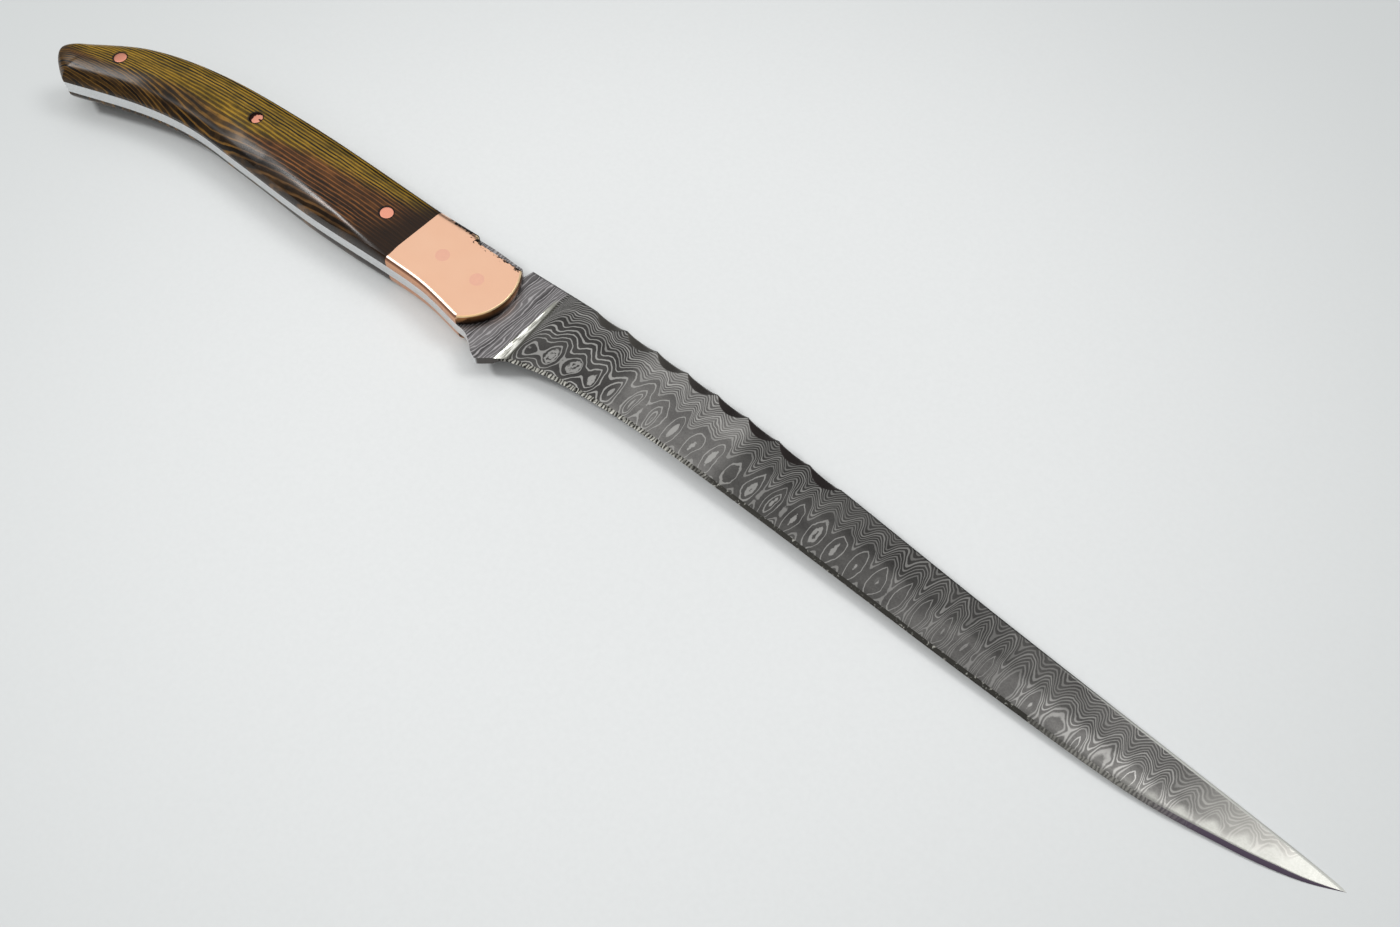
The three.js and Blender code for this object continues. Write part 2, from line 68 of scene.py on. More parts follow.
# Blade outline, as heights and depths from the rear corner of the spine
SHOULDER_SETBACK = 3
SPINE_RISE = 3.7
TIP_RISE = 0.8
HEEL_DEPTH = 25.75
EDGE_START_DEPTH = 20.8
WAIST_DEPTH = 13.2
FOREBLADE_DEPTH = 10.7
HEEL_LENGTH = 4
CHOIL_LENGTH = 6

# Handle outline, as depths below the rear corner of the blade's spine
SPINE_DEPTH_AT_JOINT = 3.2
BELLY_DEPTH_AT_JOINT = 21.9
BUTT_SPINE_DEPTH = 27.3
BUTT_CORNER_DEPTH = 37.6
BUTT_SPINE_SETBACK = 4.2
BUTT_CORNER_SETBACK = 6.6
BUTT_FULLNESS = 1.5
BUTT_UPPER_PULL = 0.42
BUTT_LOWER_PULL = 0.7

# Handle thickness on each side of the steel
JOINT_PLATE = 3.4
BOLSTER_FRONT_PLATE = 2.65
PALM_PLATE = 5.6
BUTT_PLATE = 4.9
PALM_START = 42
PALM_END = 86

# Shaped edges of the handle: fullness 1 is a full round, 0 a flat bevel, softness is how far the
# ridge between edge and face is rounded, and three values are for the joint, the palm and the butt
SPINE_ROUND = 2.2
BELLY_BEVEL_AT_JOINT = 1.3
BELLY_BEVEL_AT_PALM = 6
BELLY_BEVEL_RUN = 65
WALL_HEIGHT = 1
SPINE_FULLNESS = 1
BELLY_FULLNESS = (0.95, 0.4, 0.5)
RIM_FULLNESS = 0.8
BUTT_BEVEL_DELAY = 3
SPINE_SOFTNESS = 0.9
RIDGE_SOFTNESS = (0.4, 3.6, 2.4)
MOST_EDGE_SHARE = 0.56
MOST_SOFT_SHARE = 0.38
MOST_TURN_SHARE = 0.75

# Bolster, with the filed notch in its spine and the soft margin beside its belly
BOLSTER_FRONT_SAGITTA = 4.4
BOLSTER_BELLY_SETBACK = 5.4
NOTCH_DEPTH = 1.8
NOTCH_START = 10.8
NOTCH_STEP = 2.4
SHOULDER_NOTCH_DEPTH = 2.8
SHOULDER_NOTCH_LENGTH = 0.5
TANG_DIP = 1
RIM_ROUND = 0.45
MARGIN_WIDTH = 3.4
MARGIN_DROP = 0.24
MARGIN_RUN_OUT = 9

# Pins: distance from the joint and height above the middle of the handle's width, heads as (share of
# the radius, height over the face) pairs, and display colours of bright and dull metal
PIN_RADIUS = 1.6
PIN_GAP = 0.14
PEENED_HEAD = ((0, 0.03), (0.5, 0.026), (0.8, 0.015), (0.95, 0.004), (1, -0.02))
FLUSH_HEAD = ((0, 0), (0.5, 0), (1, 0))
SCALE_PINS = {
    "front_scale_pin": (-8.7, 0.4),
    "middle_scale_pin": (-53.5, 1.4),
    "rear_scale_pin": (16.4 - HANDLE_LENGTH, 1.1),
}
BOLSTER_PINS = {
    "rear_bolster_pin": (9.5, -0.5),
    "front_bolster_pin": (BOLSTER_LENGTH - 9.2, -0.3),
}
PEENED_COLOURS = ((248, 172, 147), (240, 160, 135))
FLUSH_COLOURS = ((246, 191, 166), (243, 186, 162))

# Filework along the spine, cut by a round file
SCALLOP_COUNT = 8
SCALLOP_PITCH = 8.84
SCALLOP_START = 18.8
SCALLOP_DEPTH = 2.95
SCALLOP_SLOPE = math.radians(21.6)
SCALLOP_BAND = 4
FILED_BORDER = 0.05

# Layers of the pattern-welded steel
LADDER_PERIOD = 5.56
LADDER_PEAK = 84.7
EYE_ROUND = 3.6
EYE_PITCH = 1.12
WIDE_FROM = 4.7
WIDE_TO = 7

# Values along the blade: a start value and (from, to, change) steps, in millimetres from the joint
EYE_HEIGHTS = (5.6, (48, 60, -1.1), (140, 200, -3))
EYE_CORES = (-1.02, (42, 46, 0.6), (50, 56, -0.08), (92, 98, -0.2))
LADDER_SWINGS = (0.55, (52, 76, 0.85), (88, 104, 0.25), (134, 146, 1.5), (160, 178, -1.6))
WIDE_PITCHES = (EYE_PITCH, (56, 66, 1.18))
OUTER_BANDS = (0.7, (58, 76, 1.5))
CLOSE_PITCHES = (0.6, (50, 105, 0.1), (132, 142, 0.45), (164, 182, -0.4))
LAYER_STRENGTHS = (1, (136, 168, -0.3), (194, 212, -0.42))
DARK_NEAR_SPINE = (1, (60, 66, 1.5), (90, 95, -1.7))
DARK_NEAR_EDGE = (1.1, (60, 66, 1.55), (90, 96, -1.4), (134, 142, 0.4))
LIGHT_NEAR_SPINE = (1.1, (60, 66, 0.15), (90, 95, -0.57), (114, 120, -0.1))
LIGHT_NEAR_EDGE = (1.3, (56, 66, -0.15), (90, 96, -0.25), (164, 172, 0.35))
# Heights above the edge that the painted highlight near the tip reaches
PAINTED_HIGHLIGHT_HEIGHTS = (0.6, (194, 220, 2), (220, 235, 3.5))

# Grain of the wood: the pitch of its lines, at the butt and in front of it, near the spine, lower down
# and toward the belly, the borders between these, its slope along the handle, how it bends toward the
# butt, how far the belly's facet stretches it, and the slanting border of its brown part
GRAIN_PITCH = (0.86, 0.8)
WIDE_GRAIN_PITCH = (0.7, 1.15)
FACET_GRAIN_PITCH = (0.4, 0.9)
WIDE_GRAIN_FROM = -10
WIDE_GRAIN_TO = -16
GRAIN_SLOPE = 0.09
GRAIN_BEND = 4.2
GRAIN_BEND_FROM = 35
GRAIN_BEND_RUN = 65
GRAIN_STRETCH = 0.3
BROWN_SLOPE = 0.2
BROWN_FROM = -8.5

# Camera
LENS = 36
SENSOR = 36
CLIP_START = 0.01
CAMERA_PLACE = (188.5, -121.9, 262.8)
CAMERA_AIM = (-0.3297, 0.3657, -0.8704)

# Floor: its half width in metres, the centre of its painted pool of light and where that painted light
# fades, in millimetres
FLOOR_REACH = 8
FLOOR_PAINTED_LIGHT_CENTRE = (70, -5)
FLOOR_PAINTED_FADE = (60, 250)

# Light: greys of the sky, and lamps with place, aim and size in metres and power in watts
HORIZON_GREY = 0.26
OVERHEAD_GREY = 0.94
SKY_RISE = (0.46, 0.76)
LAMPS = {
    "key": ((0.45, 0.55, 1.1), (0.05, 0, 0), 0.5, 4.5),
    "fill": ((-0.76, -0.47, 0.9), (-0.05, 0, 0), 0.24, 6.5),
}

# Mesh fineness, along the knife and then across it
CURVE_SAMPLES = 4000
HANDLE_STEPS = 200
BUTT_STEPS = 56
RICASSO_STEPS = 24
PLUNGE_STEPS = 25
HEEL_STEPS = 10
SCALLOP_STEPS = 26
FOREBLADE_STEPS = 90
TIP_STEPS = 50
TIP_FROM = 0.9
LAST_TANG = 13 / 14
BOLSTER_STEPS = 56
BOLSTER_SPINE_STEPS = 24
EDGE_STEPS = 14
SOFT_STEPS = 10
SPINE_ROWS = 25
SPINE_CROWDING = 1.4
FACE_ROWS = 9
PIN_SIDES = 64
SHARP_ANGLE = math.radians(24)
WELD = 1e-4

# Rows of the scales: where they meet across the handle, and how they fan out round the butt
ROW_SHARE = 0.64
BUTT_FAN_LEAD = 2.4
FAN_LEAN = 8

# Faces of the steel that look satin, within reach of the outline, or ground, on the edge bevel
OUTLINE_REACH = 0.3
OUTLINE_STEEPNESS = 0.5
BEVEL_SHARE = 0.75

half = STEEL_THICKNESS / 2
shoulder_x = BOLSTER_LENGTH - SHOULDER_SETBACK
tip_x = shoulder_x + BLADE_LENGTH
heel_x = BOLSTER_LENGTH + HEEL_LENGTH
edge_x = heel_x + CHOIL_LENGTH
plunge_x = edge_x - PLUNGE_LENGTH

# The knife's place in the frame
joint_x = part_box("right_bolster")[0].x
spine_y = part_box("right_scale")[1].y + SPINE_DEPTH_AT_JOINT * MILLIMETRE
steel_low, steel_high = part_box("blade")
steel_z = (steel_low.z + steel_high.z) / 2
origin = Vector((joint_x, spine_y, steel_z))


def in_frame(point):
    return origin + MILLIMETRE * Vector(point)


def in_millimetres(rows):
    return (rows - np.array(origin)) / MILLIMETRE


def lerp(first, second, share):
    return first + (second - first) * share


def smoothstep(value, low, high):
    share = np.clip((value - low) / (high - low), 0, 1)
    return share * share * (3 - 2 * share)


# Plan curves, each sampled finely
def spline(points):
    """A smooth curve through the points, as an array of places."""
    knots = np.array(points, float)
    last = len(knots) - 1
    places = np.linspace(0, last, CURVE_SAMPLES)
    left = np.minimum(places.astype(int), last - 1)
    share = (places - left)[:, None]
    before = knots[np.maximum(left - 1, 0)]
    after = knots[np.minimum(left + 2, last)]
    start = knots[left]
    end = knots[left + 1]
    start_slope = (end - before) / 2
    end_slope = (after - start) / 2
    cubic = (2 * start - 2 * end + start_slope + end_slope) * share**3
    square = (-3 * start + 3 * end - 2 * start_slope - end_slope) * share**2
    return cubic + square + start_slope * share + start


def height_on(curve):
    """The height of a curve that runs toward +X, as a function of x."""
    return lambda x: np.interp(x, curve[:, 0], curve[:, 1])


def run(span, heights, *shares):
    """Points given by their shares along a span of x and between two heights."""
    return [(lerp(*span, way), lerp(*heights, level)) for way, level in shares]


blade_span = (shoulder_x, tip_x)
handle_span = (0, -HANDLE_LENGTH)
blade_spine = height_on(spline([
    *run(blade_span, (0, SPINE_RISE), (0, 0), (0.15, 0.76), (0.34, 1)),
    *run(blade_span, (TIP_RISE, SPINE_RISE), (0.63, 0.48), (0.95, 0.17), (1, 0)),
]))
blade_edge = height_on(spline([
    (edge_x, -EDGE_START_DEPTH),
    *run(blade_span, (-EDGE_START_DEPTH, -WAIST_DEPTH), (0.117, 0.45), (0.224, 0.82), (0.397, 1)),
    *run(blade_span, (-WAIST_DEPTH, -FOREBLADE_DEPTH), (0.63, 0.4), (0.797, 1)),
    *run(blade_span, (-FOREBLADE_DEPTH, TIP_RISE), (0.896, 0.31), (0.959, 0.63), (1, 1)),
]))
choil = height_on(spline(run(
    (heel_x, edge_x), (-HEEL_DEPTH, -EDGE_START_DEPTH),
    (0, 0), (0.2, 0.22), (0.42, 0.47), (0.65, 0.7), (1, 1),
)))
butt_spine = np.array((BUTT_SPINE_SETBACK - HANDLE_LENGTH, -BUTT_SPINE_DEPTH))
butt_corner = np.array((BUTT_CORNER_SETBACK - HANDLE_LENGTH, -BUTT_CORNER_DEPTH))
spine_drop = (-SPINE_DEPTH_AT_JOINT, -BUTT_SPINE_DEPTH)
belly_drop = (-BELLY_DEPTH_AT_JOINT, -BUTT_CORNER_DEPTH)
heel_drop = (-BELLY_DEPTH_AT_JOINT, -HEEL_DEPTH)
handle_spine = height_on(spline([
    butt_spine,
    *run(handle_span, spine_drop, (0.832, 0.585), (0.651, 0.31), (0.407, 0.15), (0, 0)),
    (shoulder_x, 0),
]))
handle_belly = height_on(spline([
    butt_corner,
    *run(handle_span, belly_drop, (0.76, 0.5), (0.615, 0.26), (0.452, 0.205), (0.226, 0.153), (0, 0)),
    *run((0, BOLSTER_LENGTH), heel_drop, (0.41, -0.175), (0.78, 0.075), (0.91, 0.13)),
    *run((BOLSTER_LENGTH, heel_x), heel_drop, (0.08, 0.49), (0.48, 0.79), (1, 1)),
]))


def butt_end(share):
    """A place on the rounded butt, from the spine (0) to the belly (1)."""
    furthest = -HANDLE_LENGTH - BUTT_FULLNESS
    second = np.array((furthest, lerp(butt_spine[1], butt_corner[1], BUTT_UPPER_PULL)))
    third = np.array((furthest, lerp(butt_spine[1], butt_corner[1], BUTT_LOWER_PULL)))
    rest = 1 - share
    near = rest**3 * butt_spine + 3 * rest**2 * share * second
    return near + 3 * rest * share**2 * third + share**3 * butt_corner


butt_curve = np.array([butt_end(share) for share in np.linspace(0, 1, CURVE_SAMPLES)])
butt_turn = int(np.argmin(butt_curve[:, 0]))
butt_tip = butt_curve[butt_turn]
butt_upper = height_on(butt_curve[butt_turn::-1])
butt_lower = height_on(butt_curve[butt_turn:])


def pin_centre(pin):
    """The plan place of a pin, from its distance to the joint and its height."""
    x, rise = pin
    return np.array((x, (handle_spine(x) + handle_belly(x)) / 2 + rise))


def row_centre(x):
    """Where the scale's rows from spine and belly meet."""
    return np.array((x, lerp(handle_belly(x), handle_spine(x), ROW_SHARE)))


# Thickness and edge shapes of the handle
def wood_plate(x):
    to_palm = np.maximum(0, 1 + x / PALM_START)
    past_palm = np.maximum(0, (-x - PALM_END) / (HANDLE_LENGTH - PALM_END))
    swell = (PALM_PLATE - JOINT_PLATE) * to_palm**2
    fall = (PALM_PLATE - BUTT_PLATE) * past_palm**2
    return PALM_PLATE - swell - fall


def copper_plate(x):
    return lerp(JOINT_PLATE, BOLSTER_FRONT_PLATE, x / BOLSTER_LENGTH)


def belly_bevel(x):
    return lerp(BELLY_BEVEL_AT_JOINT, BELLY_BEVEL_AT_PALM, smoothstep(-x, 0, BELLY_BEVEL_RUN))


def staged(x, values, palm_run, butt_run):
    """The values at the joint, the palm and the butt, eased from one to the next."""
    to_palm = lerp(values[0], values[1], smoothstep(-x, 0, palm_run))
    return lerp(to_palm, values[2], smoothstep(-x, *butt_run))


def belly_shape(x):
    """Width, fullness and softness of the belly's edge."""
    fullness = staged(x, BELLY_FULLNESS, BELLY_BEVEL_RUN, (BELLY_BEVEL_RUN, HANDLE_LENGTH))
    return belly_bevel(x), fullness, staged(x, RIDGE_SOFTNESS, PALM_START, (BELLY_BEVEL_RUN, PALM_END))


def edge_inset(share, width, fullness):
    return (share * (1 - share) * (1 - fullness) + share**2) * width


def edge_rise(share, plate, fullness):
    return lerp(WALL_HEIGHT, plate, share * (1 - share) * (1 + fullness) + share**2)


# Steel: its outline, its section and the scallops in its spine
front_spine = np.array((shoulder_x - SHOULDER_NOTCH_LENGTH, -SHOULDER_NOTCH_DEPTH))
front_belly_x = BOLSTER_LENGTH - BOLSTER_BELLY_SETBACK
front_belly = np.array((front_belly_x, handle_belly(front_belly_x)))
notch_end = NOTCH_START + NOTCH_STEP
scallops_from = shoulder_x + SCALLOP_START
scallops_to = scallops_from + SCALLOP_COUNT * SCALLOP_PITCH


def steel_top(x):
    tang = handle_spine(x) - TANG_DIP * smoothstep(x, notch_end, front_spine[0])
    top = np.where(x < butt_spine[0], butt_upper(x), tang)
    top = np.where(x >= front_spine[0] - WELD, front_spine[1], top)
    return np.where(x >= shoulder_x - WELD, blade_spine(x), top)


def steel_bottom(x):
    bottom = np.where(x < butt_corner[0], butt_lower(x), handle_belly(x))
    bottom = np.where(x >= heel_x, choil(x), bottom)
    return np.where(x >= edge_x, blade_edge(x), bottom)


def steel_section(x):
    """Top and bottom of the steel, its half thicknesses at spine, bevel shoulder and edge, and the
    height of its edge bevel."""
    top = steel_top(x)
    bottom = steel_bottom(x)
    ground = np.clip((x - plunge_x) / PLUNGE_LENGTH, 0, 1)
    sweep = np.sqrt(1 - (1 - ground) ** 2)
    heel = smoothstep(x, front_belly_x, heel_x)
    taper = np.clip((x - edge_x) / (tip_x - edge_x), 0, 1)
    narrowing = np.where(x > edge_x, np.minimum(1, (top - bottom) / TIP_LENGTH), 1)
    spine = lerp(STEEL_THICKNESS, TIP_THICKNESS, taper) * narrowing
    slab = lerp(STEEL_THICKNESS, HEEL_THICKNESS, heel)
    shoulder = lerp(slab, EDGE_SHOULDER_THICKNESS, sweep) * narrowing
    edge = slab * (1 - sweep)
    return top, bottom, spine / 2, shoulder / 2, edge / 2, EDGE_BEVEL_HEIGHT * ground * narrowing


def scallop_floor(x, depth, spine_half):
    """Height that the round-file cuts leave at a depth below the spine."""
    chord = SCALLOP_PITCH / 2
    sink = SCALLOP_DEPTH * math.sin(SCALLOP_SLOPE)
    radius = (chord**2 + sink**2) / (2 * sink)
    across = (x - scallops_from) % SCALLOP_PITCH - chord
    lift = radius - np.sqrt(radius**2 - across**2)
    drop = (SCALLOP_DEPTH - depth) * math.sin(SCALLOP_SLOPE)
    floor = spine_half + (lift - drop) / math.cos(SCALLOP_SLOPE)
    cut = (x > scallops_from) & (x < scallops_to)
    return np.where(cut, floor, STEEL_THICKNESS)


# Meshes
def make_piece(name, points, faces, materials):
    """A closed smooth-shaded piece from points in millimetres."""
    shape = bmesh.new()
    corners = [shape.verts.new(in_frame(point)) for point in points]
    for face in faces:
        shape.faces.new([corners[place] for place in dict.fromkeys(face)])
    bmesh.ops.remove_doubles(shape, verts=shape.verts, dist=WELD * MILLIMETRE)
    bmesh.ops.recalc_face_normals(shape, faces=shape.faces)
    mesh = bpy.data.meshes.new(name)
    shape.to_mesh(mesh)
    shape.free()
    return place_mesh(name, mesh, materials)


def add_object(name, data):
    thing = bpy.data.objects.new(name, data)
    bpy.context.scene.collection.objects.link(thing)
    return thing


def place_mesh(name, mesh, materials):
    for material in materials:
        mesh.materials.append(material)
    mesh.polygons.foreach_set("use_smooth", [True] * len(mesh.polygons))
    mesh.set_sharp_from_angle(angle=SHARP_ANGLE)
    return add_object(name, mesh)


def read_rows(items, label):
    """One property of a mesh's points or faces, three numbers in each row."""
    values = np.empty(len(items) * 3)
    items.foreach_get(label, values)
    return values.reshape(-1, 3)


def mark_points(mesh, marks):
    """Keeps a value for each point of the mesh, by label, for its materials to read."""
    for label, values in marks.items():
        layer = mesh.attributes.new(label, "FLOAT", "POINT")
        layer.data.foreach_set("value", values.astype(np.float32))


def ring_faces(rows, columns, closed=True):
    """Quads between neighbouring rows of points, each row holding the same number of columns."""
    faces = []
    for first in range(0, (rows - 1) * columns, columns):
        second = first + columns
        for column in range(columns if closed else columns - 1):
            beside = (column + 1) % columns
            faces.append((first + column, first + beside, second + beside, second + column))
    return faces


def steel_stations():
    runs = [
        lerp(butt_tip[0], butt_corner[0], np.linspace(0, 1, BUTT_STEPS // 2) ** 2),
        np.linspace(butt_corner[0], LAST_TANG * front_spine[0], HANDLE_STEPS)[1:],
        front_spine[:1],
        [shoulder_x],
    ]
    for end, steps in (
        (plunge_x, RICASSO_STEPS),
        (edge_x, PLUNGE_STEPS),
        (scallops_from, HEEL_STEPS),
        (scallops_to, SCALLOP_STEPS * SCALLOP_COUNT + 1),
        (lerp(*blade_span, TIP_FROM), FOREBLADE_STEPS),
        (tip_x, TIP_STEPS),
    ):
        runs.append(np.linspace(runs[-1][-1], end, steps)[1:])
    return np.concatenate(runs)


def steel_points():
    """Rings of points along the steel: up the right side, across the spine and down the left side."""
    x = steel_stations()
    top, bottom, spine, shoulder, edge, rise = steel_section(x)
    face = top - bottom - rise
    band = np.minimum(SCALLOP_BAND, face / 2)
    depths = [band * share for share in np.linspace(0, 1, SPINE_ROWS) ** SPINE_CROWDING]
    depths += [lerp(band, face, share) for share in np.linspace(0, 1, FACE_ROWS)[1:]]
    side = []
    for depth in depths:
        level = lerp(spine, shoulder, depth / np.maximum(face, WELD))
        level = np.minimum(level, scallop_floor(x, depth, spine))
        ease = np.minimum(SPINE_EASE, level / 3) * np.maximum(0, 1 - depth / SPINE_EASE_WIDTH) ** 2
        blade = np.where(x >= shoulder_x - WELD, ease, 0)
        side.append((top - depth, level - blade))
    side.append((bottom, edge))
    right = [np.stack((x, y, z), 1) for y, z in reversed(side)]
    left = [np.stack((x, y, -z), 1) for y, z in side]
    return np.stack(right + left, 1)


def build_steel(materials):
    rings = steel_points()
    rows, columns, _ = rings.shape
    piece = make_piece("knife_steel", rings.reshape(-1, 3), ring_faces(rows, columns), materials)
    mark_steel(piece.data)
    return piece


def mark_steel(mesh):
    """Marks how far each point lies below the spine, above the edge and inside a file cut, and gives
    the satin and bevel materials to the faces that look so."""
    x, y, _ = in_millimetres(read_rows(mesh.vertices, "co")).T
    top, bottom, spine, shoulder, _, rise = steel_section(x)
    uncut = lerp(spine, shoulder, (top - y) / np.maximum(top - bottom - rise, WELD))
    filed = uncut - scallop_floor(x, top - y, spine)
    mark_points(mesh, {"below_spine": top - y, "above_edge": y - bottom, "filed": filed})

    x, y, _ = in_millimetres(read_rows(mesh.polygons, "center")).T
    top, bottom, *_, rise = steel_section(x)
    steep = np.abs(read_rows(mesh.polygons, "normal")[:, 2]) < OUTLINE_STEEPNESS
    outline = steep & (np.minimum(y - bottom, top - y) < OUTLINE_REACH)
    bevel = (x > plunge_x) & (y - bottom < BEVEL_SHARE * rise)
    indices = np.where(outline, 1, np.where(bevel, 2, 0))
    mesh.polygons.foreach_set("material_index", indices.astype(np.int32))


def soft_profile(span, width, fullness, softness, plate_at):
    """A shaped edge as (inset, rise) pairs that stay inside the span: wall, edge curve, soft ridge."""
    width = min(width, MOST_EDGE_SHARE * span)
    reach = min(softness, MOST_SOFT_SHARE * span)
    turn = 1 - min(reach / width, MOST_TURN_SHARE)
    pairs = []
    for share in np.linspace(0, turn, EDGE_STEPS):
        inset = edge_inset(share, width, fullness)
        pairs.append((inset, edge_rise(share, plate_at(inset), fullness)))
    start = np.array(pairs[-1])
    ridge = np.array((width, plate_at(width)))
    end = np.array((width + reach, plate_at(width + reach)))
    for share in np.linspace(0, 1, SOFT_STEPS + 1)[1:]:
        rest = 1 - share
        pairs.append(rest**2 * start + 2 * rest * share * ridge + share**2 * end)
    return pairs


def scale_samples():
    """The scale's outline from the spine at the joint round the butt to the belly at the joint, each
    place with the centre that its row runs to and the shape of its edge."""
    fan_x = butt_corner[0] + BUTT_FAN_LEAD
    spine_shape = (SPINE_ROUND, SPINE_FULLNESS, SPINE_SOFTNESS)
    spine = []
    belly = []
    for way in np.linspace(0, 1, HANDLE_STEPS):
        centre = row_centre(fan_x * way)
        x = fan_x * way + (butt_spine[0] - fan_x) * way**FAN_LEAN
        spine.append((np.array((x, handle_spine(x))), centre, spine_shape))
        x = fan_x * way + (butt_corner[0] - fan_x) * way**FAN_LEAN
        belly.append((np.array((x, handle_belly(x))), centre, belly_shape(x)))
    corner_shape = belly_shape(butt_corner[0])
    butt = []
    for around in np.linspace(0, 1, BUTT_STEPS)[1:-1]:
        share = around**BUTT_BEVEL_DELAY
        shape = [lerp(first, second, share) for first, second in zip(spine_shape, corner_shape)]
        butt.append((butt_end(around), row_centre(fan_x), shape))
    return spine + butt + belly[::-1]


def scale_row(point, centre, shape):
    """Places along the scale's underside, up its wall, round its edge and back to the centre."""
    inward = centre - point
    reach = np.linalg.norm(inward)
    inward = inward / reach
    pairs = soft_profile(reach, *shape, lambda inset: wood_plate((point + inset * inward)[0]))
    edge = [(*(point + inset * inward), rise) for inset, rise in pairs]
    return [(*centre, 0), (*point, 0), *edge, (*centre, wood_plate(centre[0]))]


def raised(rows, side):
    """The places of all rows, raised from one side of the steel."""
    return [(x, y, side * (half + rise)) for row in rows for x, y, rise in row]


def build_scale(name, side, material):
    rows = [scale_row(*sample) for sample in scale_samples()]
    columns = len(rows[0])
    last = (len(rows) - 1) * columns
    faces = ring_faces(len(rows), columns, closed=False)
    faces.append(list(range(columns)) + [last + column for column in range(columns - 2, 0, -1)])
    return drilled_piece(name, raised(rows, side), faces, SCALE_PINS.values(), material)


def drilled_piece(name, points, faces, pins, material):
    """A closed piece with a round hole for each pin."""
    blank = make_piece(name, points, faces, [])
    mesh = cut_holes(blank, pins)
    bpy.data.objects.remove(blank)
    return place_mesh(name, mesh, [material])


def cut_holes(piece, pins):
    """The piece's mesh with round holes for the pins."""
    outer = (PIN_RADIUS + PIN_GAP) * MILLIMETRE
    for pin in pins:
        tool = bpy.data.meshes.new("hole")
        shape = bmesh.new()
        bmesh.ops.create_cone(
            shape, cap_ends=True, segments=PIN_SIDES, radius1=outer, radius2=outer,
            depth=4 * PALM_PLATE * MILLIMETRE,
        )
        shape.to_mesh(tool)
        shape.free()
        cutter = add_object("hole", tool)
        cutter.location = in_frame((*pin_centre(pin), 0))
        bpy.context.view_layer.update()
        modifier = piece.modifiers.new("hole", "BOOLEAN")
        modifier.operation = "DIFFERENCE"
        modifier.solver = "EXACT"
        modifier.object = cutter
        evaluated = piece.evaluated_get(bpy.context.evaluated_depsgraph_get())
        mesh = bpy.data.meshes.new_from_object(evaluated)
        piece.modifiers.clear()
        piece.data = mesh
        bpy.data.objects.remove(cutter)
    return mesh


def bolster_samples():
    """The bolster's outline along the belly, the rounded front, the filed notch and the spine: places,
    each with its way inward and the width, fullness and soft margin of its edge."""
    samples = []
    for x in np.linspace(0, front_belly_x, BOLSTER_STEPS):
        margin = MARGIN_WIDTH * smoothstep(front_belly_x - x, 0, MARGIN_RUN_OUT)
        inward = (0, 1) if x < front_belly_x else (-RIM_ROUND / BELLY_BEVEL_AT_JOINT, 1)
        samples.append(((x, handle_belly(x)), inward, BELLY_BEVEL_AT_JOINT, BELLY_FULLNESS[0], margin))
    chord = front_spine - front_belly
    radius = (chord @ chord / 4 + BOLSTER_FRONT_SAGITTA**2) / (2 * BOLSTER_FRONT_SAGITTA)
    outward = np.array((chord[1], -chord[0])) / np.linalg.norm(chord)
    centre = (front_spine + front_belly) / 2 + outward * (BOLSTER_FRONT_SAGITTA - radius)
    start = math.atan2(*(front_belly - centre)[::-1])
    end = math.atan2(*(front_spine - centre)[::-1])
    rim = (RIM_ROUND, RIM_FULLNESS, 0)
    for turn in np.linspace(start, end, BOLSTER_STEPS)[1:]:
        direction = np.array((math.cos(turn), math.sin(turn)))
        samples.append((centre + radius * direction, -direction, *rim))
    samples.append(((notch_end, handle_spine(NOTCH_START) - NOTCH_DEPTH), (0, -1), *rim))
    for x in np.linspace(NOTCH_START, 0, BOLSTER_SPINE_STEPS):
        samples.append(((x, handle_spine(x)), (0, -1), SPINE_ROUND, SPINE_FULLNESS, 0))
    return samples


def bolster_row(point, inward, width, fullness, margin):
    """Places up the bolster's wall, round its edge and over its margin."""
    point = np.array(point)
    inward = np.array(inward)
    drop = MARGIN_DROP * margin / MARGIN_WIDTH
    row = [(*point, 0)]
    for share in np.linspace(0, 1, EDGE_STEPS):
        x, y = point + edge_inset(share, width, fullness) * inward
        row.append((x, y, edge_rise(share, copper_plate(x) - drop, fullness)))
    for share in np.linspace(0, 1, SOFT_STEPS + 1)[1:]:
        x, y = point + (width + share * (margin + RIM_ROUND / 3)) * inward
        row.append((x, y, copper_plate(x) - drop * (1 - smoothstep(share, 0, 1))))
    return row


def build_bolster(name, side, material):
    rings = list(zip(*[bolster_row(*sample) for sample in bolster_samples()]))
    columns = len(rings[0])
    last = (len(rings) - 1) * columns
    faces = ring_faces(len(rings), columns)
    faces.append(list(range(columns - 1, -1, -1)))
    faces.append(list(range(last, last + columns)))
    return drilled_piece(name, raised(rings, side), faces, BOLSTER_PINS.values(), material)


def build_pin(name, place, plate, radius, head, material):
    """A round pin with a head at each end."""
    centre = pin_centre(place)
    heights = [(share, height, 1) for share, height in head]
    heights += [(share, height, -1) for share, height in reversed(head)]
    points = []
    for share, height, side in heights:
        for turn in np.linspace(0, 2 * math.pi, PIN_SIDES, endpoint=False):
            at = centre + share * radius * np.array((math.cos(turn), math.sin(turn)))
            points.append((*at, side * (half + plate(at[0]) + height)))
    faces = ring_faces(len(heights), PIN_SIDES)
    return make_piece(name, points, faces, [material])


